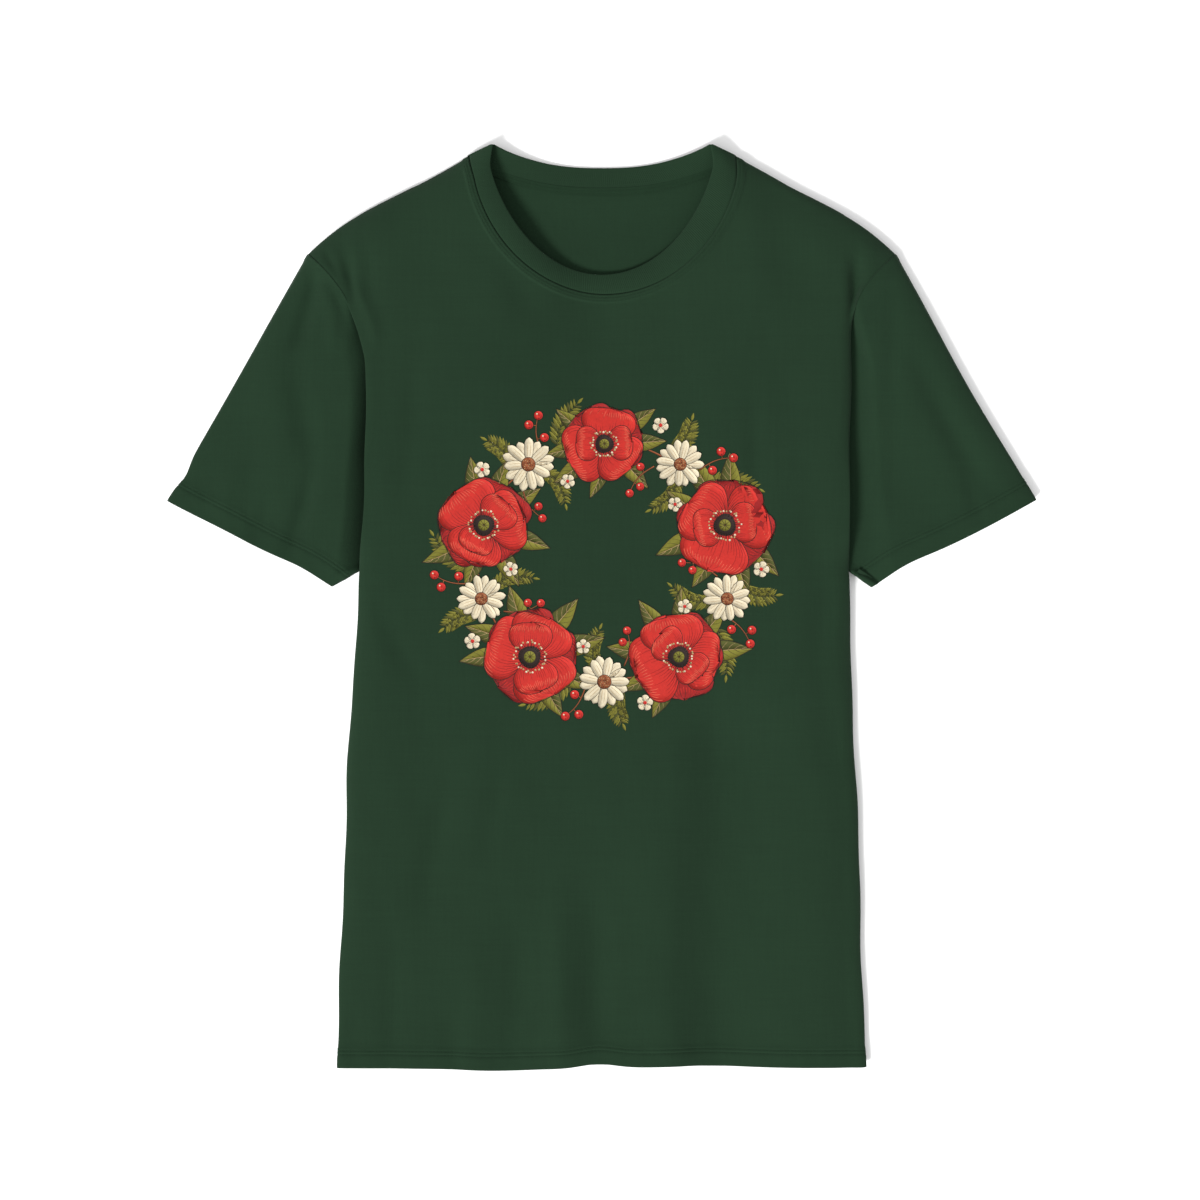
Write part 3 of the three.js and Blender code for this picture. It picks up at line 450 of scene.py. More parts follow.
def front_height(x, y):
    """Height of the front's outer face."""
    sign = np.where(x < 0, -1, 1)
    inwards = side_x(y, sign) + overhang(y, sign) - np.abs(x)
    full, low, deep = puff(x, y), side_low(y, sign), groove(y)
    rounded = rounding(inwards, SIDE_REACH, per_side(SIDE_ROUNDING, sign))
    z = full - deep * (full - low) * (1 - rounded)
    z = z - 0.35 * (1 - deep) * bell(inwards, 3)
    flank = per_side(FLANK_DROP, sign) * band(y, *FLANK_BAND)
    z = z - flank * (1 - rounding(inwards, FLANK_WIDTH, 2))
    tail = per_side(TAIL_DEPTH, sign) * band(y, *TAIL_BAND)
    z = z - tail * bell(np.abs(x) - TAIL_X, TAIL_WIDTH) * smooth(inwards, -1, 5)
    calm = smooth(inwards, 0, 16) * smooth(shoulder_distance(x, y), 0, 12)
    return z + drape(x, y) * calm


def fold_height(y, sign):
    return front_height(sign * (side_x(y, sign) + overhang(y, sign)), y)


def side_seam_height(y):
    return mix(SIDE_SEAM_HEIGHT, ARMPIT_SEAM_HEIGHT, near_armpit(y))


def seam_height(y, sign):
    """Height of the outer face at the side seam and round the armhole."""
    rise = smooth(y, *SEAM_RISE)
    low = mix(per_side(ARMHOLE_SEAM_LOW, sign), per_side(ARMHOLE_SEAM_HIGH, sign), rise)
    armhole = mix(side_seam_height(y), low, in_armhole(y))
    top = fold_height(y, sign) - 0.4 * (1 - smooth(y, 255, SHOULDER[1]))
    return mix(armhole, top, 1 - groove(y))


def back_seam_height(y):
    above = np.clip((y - ARMPIT[1]) / 35, 0, 1)
    return side_seam_height(y) * (1 - above) ** 2


def back_height(x, y):
    """Height of the back's outer face, which lies on the surface."""
    sign = np.where(x < 0, -1, 1)
    from_seam = side_x(y, sign) - seam_inset(y) - np.abs(x)
    across = np.clip(from_seam / (BACK_CURL - SIDE_SEAM_INSET), 0, 1)
    side = back_seam_height(y) * (1 - across) ** 2
    lifted = 0.55 * np.maximum(0, ripple(x, y, 88, 5)) * smooth(from_seam, 10, 40)
    lifted = lifted * smooth(shoulder_distance(x, y), 16, 40)
    neck_x, neck_y = back_neck(np.linspace(0, 1, 120))
    from_neck_edge = np.interp(np.abs(x), neck_x, neck_y) - y
    neck = (RIB_BACK_SEAM - 0.25) * (1 - smooth(from_neck_edge, 2, BACK_NECK_REACH))
    shoulder = curl(shoulder_distance(x, y), SHOULDER_FOLD_HEIGHT)
    return side + (shoulder ** 6 + neck ** 6 + 1e-9) ** (1 / 6) - 0.03 + lifted


# ---------------------------------------------------------------- meshes

materials = {}


def added(name, data):
    """A new object in the scene."""
    made = bpy.data.objects.new(name, data)
    bpy.context.scene.collection.objects.link(made)
    return made


def store(name, points, quads, slot, material, flat=None, replaces=()):
    """Makes a mesh piece of quads that rides on the shirt; `flat` marks its sharp faces."""
    mesh = bpy.data.meshes.new(name)
    points = np.asarray(points, float) * METRES
    quads = np.asarray(quads, int)
    mesh.vertices.add(len(points))
    mesh.vertices.foreach_set("co", points.ravel())
    mesh.loops.add(quads.size)
    mesh.loops.foreach_set("vertex_index", quads.ravel())
    mesh.polygons.add(len(quads))
    mesh.polygons.foreach_set("loop_start", np.arange(len(quads)) * 4)
    is_smooth = np.ones(len(quads), bool) if flat is None else ~np.asarray(flat, bool)
    mesh.polygons.foreach_set("use_smooth", is_smooth)
    mesh.update(calc_edges=True)
    mesh.validate()
    mesh.materials.append(materials[material])
    piece = added(name, mesh)
    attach(piece, "root")
    if replaces:
        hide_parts(*replaces)
    return piece


def cloth(name, outer, inner, material, node, slot="jersey", wrap=False, flip=False, sign=1):
    """Stores the sheet between two grids in place of one of the part's nodes."""
    points, quads, rim = closed_sheet(outer, inner, wrap)
    points, quads = mirrored(points, quads[:, ::-1] if flip else quads, sign)
    return store(name, points, quads, slot, material, rim, [node])


def sewn(name, solid, node=None):
    """Stores stitches, in place of one of the part's nodes where it has one."""
    return store(name, *solid, "thread", "thread", replaces=[node] if node else ())


def grid_normals(points, wrap):
    if wrap:
        across = np.roll(points, -1, 1) - np.roll(points, 1, 1)
    else:
        across = np.gradient(points, axis=1)
    return unit(np.cross(across, np.gradient(points, axis=0)))


def grid_quads(rows, columns, wrap, start=0):
    """Quads of a grid whose vertices are numbered row by row."""
    row = np.arange(rows - 1)[:, None]
    column = np.arange(columns if wrap else columns - 1)[None, :]
    after = (column + 1) % columns
    corners_of = [row * columns + column, row * columns + after,
                  (row + 1) * columns + after, (row + 1) * columns + column]
    corners_of = [np.broadcast_to(c, (rows - 1, column.size)) for c in corners_of]
    return start + np.stack(corners_of, -1).reshape(-1, 4)


def closed_sheet(outer, inner, wrap=False):
    """Points and quads of the solid between two grids, and which quads are its rims."""
    rows, columns = outer.shape[:2]
    count = rows * columns
    number = np.arange(count).reshape(rows, columns)
    if wrap:
        number = np.concatenate([number, number[:, :1]], 1)
    rims = [(number[0, 1:], number[0, :-1]), (number[-1, :-1], number[-1, 1:])]
    if not wrap:
        rims += [(number[:-1, 0], number[1:, 0]), (number[1:, -1], number[:-1, -1])]
    rim = np.concatenate([np.stack([a, b, b + count, a + count], -1) for a, b in rims])
    rim = rim[:, ::-1]
    faces = grid_quads(rows, columns, wrap)
    quads = np.concatenate([faces, faces[:, ::-1] + count, rim])
    is_rim = np.arange(len(quads)) >= 2 * len(faces)
    return np.concatenate([outer.reshape(-1, 3), inner.reshape(-1, 3)]), quads, is_rim


def mirrored(points, quads, sign):
    """The same solid on the other side of the shirt when sign is -1."""
    if sign > 0:
        return points, quads
    return points * np.array([-1, 1, 1]), quads[:, ::-1]


# ---------------------------------------------------------------- stitches and strands

def resample(points, step):
    """How far along a line its own points lie, and places on it that are `step` apart."""
    along = arc_length(points)
    count = max(1, int(along[-1] // step))
    at = (np.arange(count) + 0.5) * step + (along[-1] - count * step) / 2
    return along, at


def follow(values, along, at):
    return np.stack([np.interp(at, along, column) for column in values.T], -1)


STRAND_SIDES = 6


def strands(centres, ups, radii):
    """Closed strands through centres[n, k, 3], with radii[k] or radii[n, k]."""
    count, stations = centres.shape[:2]
    run = unit(np.gradient(centres, axis=1))
    side = unit(np.cross(run, ups))
    out = np.cross(side, run)
    angle = np.arange(STRAND_SIDES) * 2 * math.pi / STRAND_SIDES
    radii = np.broadcast_to(radii, (count, stations))[..., None, None]
    ring = side[:, :, None] * np.cos(angle)[:, None] + out[:, :, None] * np.sin(angle)[:, None]
    points = (centres[:, :, None] + ring * radii).reshape(-1, 3)
    body = grid_quads(stations, STRAND_SIDES, True)[:, ::-1]
    last = (stations - 1) * STRAND_SIDES
    caps = np.array([[0, 1, 2, 3], [0, 3, 4, 5], [last + 3, last + 2, last + 1, last],
                     [last + 5, last + 4, last + 3, last]])
    one = np.concatenate([body, caps])
    quads = (one[None] + (np.arange(count) * stations * STRAND_SIDES)[:, None, None]).reshape(-1, 4)
    return points, quads


STITCH_STATIONS = np.array([-0.5, -0.4, -0.2, 0, 0.2, 0.4, 0.5])
STITCH_RADII = np.array([0.45, 0.85, 1, 1, 1, 0.85, 0.45]) * THREAD


def stitch_row(path, normals, pitch=STITCH_PITCH, length=STITCH_LENGTH):
    """A row of plump stitches whose ends dive into the cloth."""
    along, at = resample(path, pitch)
    up = unit(follow(normals, along, at))
    places = at[:, None] + STITCH_STATIONS[None] * length
    centres = follow(path, along, places.ravel()).reshape(len(at), -1, 3)
    lift = THREAD * (0.55 - 7.0 * np.abs(STITCH_STATIONS) ** 3.2)
    centres = centres + up[:, None] * lift[None, :, None]
    return strands(centres, np.broadcast_to(up[:, None], centres.shape), STITCH_RADII)


def zigzag(lower, upper, up, pitch, radius=THREAD):
    """Strands that run back and forth between two lines, as a looper thread does."""
    along, at = resample(lower, pitch)
    scale = arc_length(upper)[-1] / along[-1]
    share = np.linspace(0, 1, 4)[None, :, None]
    strokes = []
    for first, second in [(0, 0.5), (1, 0.5)]:
        a = follow(lower, along, at + first * pitch)
        b = follow(upper, along * scale, (at + second * pitch) * scale)
        arch = np.sin(np.pi * share) * radius * 0.6
        strokes.append(a[:, None] * (1 - share) + b[:, None] * share + up * arch)
    centres = np.concatenate(strokes)
    return strands(centres, np.broadcast_to(up, centres.shape), np.full(4, radius))


def joined(parts):
    """Several (points, quads) as one."""
    starts = np.cumsum([0] + [len(points) for points, _ in parts[:-1]])
    points = np.concatenate([points for points, _ in parts])
    return points, np.concatenate([quads + start for (_, quads), start in zip(parts, starts)])


# ---------------------------------------------------------------- panels

NECK_SHARE = 0.41
HEM_ROWS = [0, 0.06, 0.22, 0.45, 0.75, 1.5, 3, 5, 7.5, 9.4, 10.4, 10.75, 11, 11.25, 11.6, 12.5,
            13.4, 13.75, 14, 14.25, 14.6, 15.6, 17, 19.5, 22.5]
TOP_ROWS = [12, 10.6, 9.4, 8.2, 7.2, 6.5, 6.2, 6, 5.8, 5.4, 4.5, 3.6, 3.2, 3, 2.8, 2.4, 1.6,
            0.9, 0.5, 0.25, 0.08, 0]
ARMHOLE_SLIDE = np.array([-0.835, -0.66])
SHOULDER_CORNER = 0.1
CORNER_REACH = 45.0
HEM_TURN_UP = 16.0

# Swings of the hem's edge: height, place and width.
HEM_SWINGS = [(3.2, -2, 20), (-2.0, -84, 34), (1.5, 66, 45)]

# Steps of the quarter turn in which the front rolls over to the side seam.
ROLL = np.array([0.13, 0.27, 0.41, 0.55, 0.68, 0.8, 0.89, 0.95, 0.985, 1]) * math.pi / 2


def top_point(neck, c):
    in_neck = neck(np.clip(c / NECK_SHARE, 0, 1))
    in_shoulder = shoulder_point(np.clip((c - NECK_SHARE) / (1 - NECK_SHARE), 0, 1))
    return [np.where(c < NECK_SHARE, a, b) for a, b in zip(in_neck, in_shoulder)]


def neck_slide(neck, fraction):
    """Unit way from the neck edge into the cloth."""
    step = 0.004
    x1, y1 = neck(np.minimum(fraction + step, 1))
    x0, y0 = neck(np.maximum(fraction - step, 0))
    length = np.hypot(x1 - x0, y1 - y0)
    return (y1 - y0) / length, -(x1 - x0) / length


def top_slide(neck, c):
    """Way to move in from the top edge; near the corner by the neck it leans to its middle."""
    fractions = np.linspace(0, 1, 400)
    arc = arc_length(np.stack(neck(fractions), -1))
    fraction = np.clip(c / NECK_SHARE, 0, 1)
    from_corner = arc[-1] - np.interp(fraction, fractions, arc)
    in_neck = np.stack(neck_slide(neck, fraction), -1)
    away_neck = np.stack([in_neck[:, 1], -in_neck[:, 0]], -1)
    along = np.clip((c - NECK_SHARE) / (1 - NECK_SHARE), 0, 1)
    x1, y1 = shoulder_point(np.minimum(along + 0.004, 1))
    x0, y0 = shoulder_point(np.maximum(along - 0.004, 0))
    away_shoulder = unit(np.stack([x1 - x0, y1 - y0], -1))
    in_shoulder = np.stack([away_shoulder[:, 1], -away_shoulder[:, 0]], -1)
    end = np.array(neck_slide(neck, np.array([1.0])))[:, 0]
    cosine = np.dot([end[1], -end[0]], SHOULDER_RUN)
    lean = 1 / math.tan(math.acos(cosine) / 2)
    near_armhole = np.clip((c - 1 + SHOULDER_CORNER) / SHOULDER_CORNER, 0, 1)[:, None]
    in_shoulder = mix(in_shoulder, ARMHOLE_SLIDE, near_armhole)
    slides = []
    for into, away, distance in ((in_neck, away_neck, from_corner),
                                 (in_shoulder, away_shoulder, along * SHOULDER_LENGTH)):
        left = np.clip(1 - distance / CORNER_REACH, 0, 1)
        slides.append(into + away * (lean * left)[:, None])
    slide = np.where((c < NECK_SHARE)[:, None], *slides)
    return slide[:, 0], slide[:, 1]


def panel_plan(neck, rows, c, sign, inset, reach):
    """Plan of half a panel: x and y at each row and column fraction c, and distances."""
    x_rows, y_rows, hem, top = [], [], [], []
    top_x, top_y = top_point(neck, c)
    slide_x, slide_y = top_slide(neck, c)
    first_x, first_y = top_x + slide_x * TOP_ROWS[0], top_y + slide_y * TOP_ROWS[0]
    first_x = np.where(c >= 1, side_x(first_y, sign) + reach(first_y, sign), first_x)
    for kind, value in rows:
        if kind == "side":
            edge = side_x(value, sign) - inset(value) + reach(value, sign)
            x, y = c * edge, np.full(len(c), value)
        elif kind == "armhole":
            side_y = mix(ARMPIT[1], first_y[-1], value)
            edge = side_x(side_y, sign) - inset(side_y) + reach(side_y, sign)
            x = c * edge + smooth(value, 0, 1) * (first_x - c * first_x[-1])
            y = mix(ARMPIT[1], first_y, value)
        else:
            x, y = top_x + slide_x * value, top_y + slide_y * value
            x = np.where(c >= 1, side_x(y, sign) + reach(y, sign), x)
        x_rows.append(x)
        y_rows.append(y)
        hem.append(np.full(len(c), y[0] - HEM_Y if kind == "side" else FAR))
        top.append(np.full(len(c), value if kind == "top" else FAR))
    return [np.array(a) for a in (x_rows, y_rows, hem, top)]


def panel_rows(side_count, armhole_count, top_rows=TOP_ROWS, hem_rows=HEM_ROWS):
    side = np.linspace(HEM_Y + hem_rows[-1], ARMPIT[1], side_count + 1)[1:]
    armhole = np.linspace(0, 1, armhole_count + 1)[1:]
    armhole = mix(armhole, armhole ** 1.3, 0.6)
    return ([("side", HEM_Y + rise) for rise in hem_rows] + [("side", y) for y in side]
            + [("armhole", f) for f in armhole[:-1]] + [("top", offset) for offset in top_rows])


def half_columns(neck_count, middle_count, edge_count, edge=0.07):
    neck = np.linspace(0, NECK_SHARE, neck_count + 1)[:-1]
    middle = np.linspace(NECK_SHARE, 1 - edge, middle_count + 1)[:-1]
    near = 1 - edge * (1 - np.linspace(0, 1, edge_count + 1)) ** 1.8
    return np.concatenate([neck, middle, near])


def neck_weight(c):
    return 1 - smooth(np.abs(c), NECK_SHARE, NECK_SHARE + 0.03)


def hem_wave(x, y):
    """Small swings of the hem's edge, fading out above it."""
    swing = sum(height * bell(x - place, width) for height, place, width in HEM_SWINGS)
    return swing * (1 - smooth(y, HEM_Y + 5, HEM_Y + 90))


def layers(distance, turn_up):
    """Thickness of a turned-up edge: two layers as far in as the turn-up reaches."""
    return CLOTH * (2 - smooth(distance, turn_up - 0.6, turn_up + 0.2))


def stitched(distance, rows, width=0.75):
    """The groove that tight stitches pull along each row."""
    return sum(bell(distance - row, width) for row in rows)


def hem_relief(distance, x, y, stitches, seed):
    """Outward relief of a turned-up hem: a double layer, stitch grooves and puckers."""
    middle = sum(stitches) / 2
    double = 0.5 * (1 - smooth(distance, stitches[1] + 0.6, stitches[1] + 3.4))
    pucker = 0.2 * ripple(x, y * 0.55, 15, seed) * bell(distance - middle, 8)
    return double - 0.36 * stitched(distance, stitches) + pucker


def from_neck(x, y):
    """Distance from the collar's seam on the front."""
    seam_x, seam_y = front_neck(np.linspace(0, 1, 150))
    nearest = np.full(np.shape(x), FAR)
    near = (np.abs(x) < NECK_SIDE[0] + 16) & (y > FRONT_NECK_Y - 16)
    gap = np.hypot(np.abs(x[near])[:, None] - seam_x, y[near][:, None] - seam_y)
    nearest[near] = gap.min(1)
    return nearest


def collar_relief(distance):
    """The allowance of the collar's seam under the cloth, and the stitches that hold it."""
    ridge = 0.95 * (1 - smooth(distance, 5.4, 7.6))
    return ridge - 0.34 * stitched(distance, NECK_STITCHES, 0.7)


def side_by_side(halves):
    """Each field of the two halves as one, from -X to +X, with the middle column once."""
    return [np.concatenate([b[:, :0:-1], a], 1) for a, b in zip(halves[1], halves[-1])]


def front_surface():
    """The front's outer grid, its normals, and its inner grid."""
    c = half_columns(36, 30, 15)
    rows = panel_rows(118, 80)
    halves = {}
    for sign in (1, -1):
        x, y, hem, top = panel_plan(front_neck, rows, c, sign, lambda y: 0 * y, overhang)
        z = front_height(sign * x, y)
        side_y = y[:, -1:]
        fold, seam = fold_height(side_y, sign), seam_height(side_y, sign)
        roll = overhang(side_y, sign) + seam_inset(side_y)
        roll_x = x[:, -1:] - roll * (1 - np.cos(ROLL))
        roll_z = fold - (fold - seam) * np.sin(ROLL)
        left = (1 - ROLL / (math.pi / 2)) * np.maximum(roll, fold - seam) * 1.3
        seam_gap = np.where(ROLL == ROLL[-1], SEAM_GAP / 2, 0)
        grown = [np.concatenate([a, np.repeat(a[:, -1:], len(ROLL), 1)], 1)
                 for a in (y, hem, top)]
        x = np.concatenate([x, roll_x - seam_gap], 1)
        z = np.concatenate([z, roll_z], 1)
        far = np.full((len(rows), len(c)), FAR)
        from_seam = np.concatenate([far, left], 1)
        fraction = np.concatenate([c, np.full(len(ROLL), 1.0)])
        halves[sign] = [sign * x, *grown, z, from_seam, np.tile(fraction, (len(rows), 1))]
    x, y, hem, top, z, from_seam, fraction = side_by_side(halves)
    at_neck = neck_weight(fraction)
    y = y + hem_wave(x, y)
    base = np.stack([x, y, z], -1)
    normal = grid_normals(base, False)
    relief = hem_relief(hem, x, y, HEM_STITCHES, 3)
    beside = from_neck(x, y)
    relief = relief + collar_relief(beside) + 0.1 * ripple(x, y, 11, 4) * bell(beside - 4.5, 5)
    relief = relief - folded_edge(from_seam, seam_round(y))
    relief = relief - folded_edge(top, mix(0.3, 1.3, at_neck))
    sunk = folded_edge(hem, CLOTH)
    outer = base + normal * (relief - sunk)[..., None]
    depth = layers(hem, HEM_TURN_UP) - sunk
    depth = depth + 0.7 * at_neck * (1 - smooth(top, 7.0, 7.8))
    shift = np.stack([neck_shift(x, y), 0 * x, 0 * x], -1)
    return outer + shift, normal, base - normal * depth[..., None] + shift


def back_surface():
    """The back's outer grid, which faces down, its normals, and its inner grid."""
    c = half_columns(22, 24, 14, 0.09)
    rows = panel_rows(70, 46)
    halves = {}
    for sign in (1, -1):
        x, y, hem, top = panel_plan(back_neck, rows, c, sign, seam_inset, lambda y, s: 0 * y)
        halves[sign] = [sign * x, y, hem, top, np.tile(c, (len(rows), 1))]
    x, y, hem, top, fraction = side_by_side(halves)
    at_neck = neck_weight(fraction)
    z = back_height(x, y)
    y = y + 0.4 * hem_wave(x, y)
    base = np.stack([x, y, z], -1)
    normal = -grid_normals(base, False)
    sunk = folded_edge(hem, CLOTH) + 0.3 * stitched(hem, HEM_STITCHES)
    side = np.abs(x[:, -1:]) - np.abs(x)
    edges = folded_edge(np.maximum(side, 0) * 1.2, 0.5) + folded_edge(top, 0.5)
    outer = base - normal * (sunk + edges)[..., None]
    depth = layers(hem, HEM_TURN_UP) - folded_edge(hem, CLOTH)
    depth = depth + 0.6 * at_neck * (1 - smooth(top, 1.5, 2.5))
    return outer, normal, base - normal * depth[..., None]


# ---------------------------------------------------------------- sleeves

CUFF_ROWS = [22, 20, 19, 18.6, 18.25, 18, 17.75, 17.2, 16.5, 15.8, 15.25, 15, 14.75, 14.2, 12.5,
             10, 7, 4.5, 2.5, 1.2, 0.75, 0.45, 0.22, 0.06, 0]
SLEEVE_START = [0, 0.1, 0.3, 0.6, 1.0, 1.6, 2.4, 3.4, 4.6, 6, 7.6, 9.4, 11.4, 13.6, 16, 19]
SLEEVE_RINGS = 46
SLEEVE_FRONT = 93
SLEEVE_BACK = 57
SLEEVE_EDGE = (30, 2.6)
CUFF_TURN_UP = 20.0
TYPICAL_SLEEVE = 130.0
SLEEVE_SAG = {1: 2.6, -1: 0.6}
SLEEVE_PULL = {1: 0.0, -1: 2.6}


def sleeve_fold(end, w):
    seam = SHOULDER_FOLD_HEIGHT if end == 0 else ARMPIT_SEAM_HEIGHT
    return mix(seam, SLEEVE_FOLD_HEIGHT, smooth(w, 0, 0.3))


def sleeve_plan(sign):
    """A sleeve's grid in plan, on the +X side; its rings cross its length.

    t goes round it, from the upper fold (0) to the lower one (1) and back; w goes along it.
    """
    front, back = (mix(eased(count), np.linspace(0, 1, count), even)
                   for count, even in ((SLEEVE_FRONT, 0.45), (SLEEVE_BACK, 0.3)))
    t = np.concatenate([front, back[1:-1][::-1]])[None, :]
    seam_y = mix(SHOULDER[1], ARMPIT[1], t)
    seam_x = side_x(seam_y, sign)
    cuff_x, cuff_y = (mix(CUFF_TOP[k], CUFF_BOTTOM[k], t) for k in range(2))
    cuff_y = cuff_y + 0.4 * np.sin(t * 9 + 2 * sign) + 3.4 * bell(t - 0.82, 0.19) * (1 - t ** 12)
    length = np.hypot(cuff_x - seam_x, cuff_y - seam_y)
    start = np.array(SLEEVE_START) / (TYPICAL_SLEEVE - CUFF_ROWS[0])
    rest = np.linspace(start[-1], 1, SLEEVE_RINGS + 1)[1:-1]
    ring = np.concatenate([start, rest])[:, None]
    even = np.linspace(0, 1, len(ring) + 1)[:-1, None]
    distance = mix(ring, even, t ** 4) * (length - CUFF_ROWS[0])
    distance = np.concatenate([distance, length - np.array(CUFF_ROWS)[:, None]])
    w = distance / length
    x, y = mix(seam_x, cuff_x, w), mix(seam_y, cuff_y, w)
    top_x = mix(side_x(SHOULDER[1], sign), CUFF_TOP[0], w)
    bottom_x = mix(side_x(ARMPIT[1], sign), CUFF_BOTTOM[0], w)
    top_y, bottom_y = mix(SHOULDER[1], CUFF_TOP[1], w), mix(ARMPIT[1], CUFF_BOTTOM[1], w)
    width = np.hypot(top_x - bottom_x, top_y - bottom_y)
    drawn_in = SLEEVE_SAG[sign] * np.sin(np.pi * w) ** 2
    drawn_in = drawn_in + SLEEVE_PULL[sign] * bell(length - distance - 25, 12)
    drawn_in = drawn_in * (1 - smooth(t, 0, 0.4)) / width
    x = x + drawn_in * (bottom_x - x)
    y = y + drawn_in * (bottom_y - y)
    return t, w, x, y, seam_x, seam_y, distance, length, width


def sleeve_front_height(sign, t, w, x, y, seam_y, distance, width):
    """Height of a sleeve's upper face: its own shape, which dips to the armhole seam."""
    upper, lower = t * width, (1 - t) * width
    folds = mix(sleeve_fold(0, w), sleeve_fold(1, w), t)
    middle = SLEEVE_HEIGHT - SLEEVE_FLATTER[sign] * smooth(t, 0.15, 0.6)
    top = mix(middle, CUFF_HEIGHT, smooth(w, 0.3, 1))
    own = folds + (top - folds) * rounding(upper, *SLEEVE_EDGE) * rounding(lower, *SLEEVE_EDGE)
    calm = smooth(upper, 0, 14) * smooth(lower, 0, 14) * smooth(distance, 2, 14)
    soft = 0.45 * ripple(sign * x, y, 70, 6 + sign)
    own = own + calm * (creases(sign * x, y, SLEEVE_CREASES[sign]) + soft)
    deep = groove(seam_y) * in_armhole(seam_y)
    up = smooth(seam_y, *DIP_SPAN)
    reach = mix(7, mix(DIP_WIDTH_BOTTOM[sign], DIP_WIDTH_TOP[sign], up), deep)
    flat = mix(DIP_FLAT_BOTTOM[sign], DIP_FLAT_TOP[sign], up)
    across = np.clip((distance - flat * deep) / reach, 0, 1)
    rise = 1 - (1 - across) ** mix(2.2, 1.45, deep)
    rise = mix(rise, smooth(across, 0, 1), deep * (sign > 0))
    return mix(seam_height(seam_y, sign) - SEAM_GAP, own, rise)


def sleeve_back_height(t, w, seam_x, seam_y, width):
    """Height of a sleeve's lower face, which lies flat between its curled edges."""
    shoulder = curl(shoulder_distance(seam_x, seam_y), SHOULDER_FOLD_HEIGHT)
    curled = curl(t * width, sleeve_fold(0, w)) + curl((1 - t) * width, sleeve_fold(1, w))
    return mix(back_seam_height(seam_y) + shoulder, curled, smooth(w, 0, 0.15))


def sleeve_surface(sign):
    """A sleeve's outer grid, its normals, and its inner grid, on the +X side."""
    t, w, x, y, seam_x, seam_y, distance, length, width = sleeve_plan(sign)
    is_front = (np.arange(t.size) < SLEEVE_FRONT)[None, :]
    z = np.where(is_front, sleeve_front_height(sign, t, w, x, y, seam_y, distance, width),
                 sleeve_back_height(t, w, seam_x, seam_y, width))
    x = x + np.where(distance == 0, SEAM_GAP, 0)
    base = np.stack([x, y, z], -1)
    normal = grid_normals(base, True)
    cuff = length - distance
    relief = hem_relief(cuff, x, y, CUFF_STITCHES, 7 + sign)
    relief = np.where(is_front, relief, np.minimum(relief, 0) * 0.9)
    sunk = folded_edge(cuff, CLOTH)
    deep = groove(seam_y) * in_armhole(seam_y)
    flat_seam = (1 - deep) * smooth(seam_y, ARMPIT[1], ARMPIT[1] + 20)
    relief = relief + 0.4 * flat_seam * (1 - smooth(distance, 4.5, 7.5))
    relief = relief - folded_edge(distance, seam_round(seam_y) + 0 * distance)
    outer = base + normal * (relief - sunk)[..., None]
    depth = layers(cuff, CUFF_TURN_UP) - sunk
    return outer, normal, base - normal * depth[..., None]


# ---------------------------------------------------------------- collar

RIB_SEAM_FRONT = 6.0
RIB_SEAM_BACK = 4.4
PEAK_FRONT = 13.6
PEAK_BACK = 8.0
PEAK_DRAW = 1.8
COLLAR_RISE = {1: (0.25, 1.0), -1: (0.04, 0.62)}
RIB_FRONT_FALL = 1.9
RIB_BACK_EDGE = 0.35
RIB_BACK_SEAM = 2.6
FRONT_CROSSINGS = 240
FOLD_CROSSINGS = 12
BACK_CROSSINGS = 200
RIB_STEPS = np.array([0, 0.04, 0.12, 0.25, 0.42, 0.6, 0.78, 0.9, 0.955, 0.985, 1])


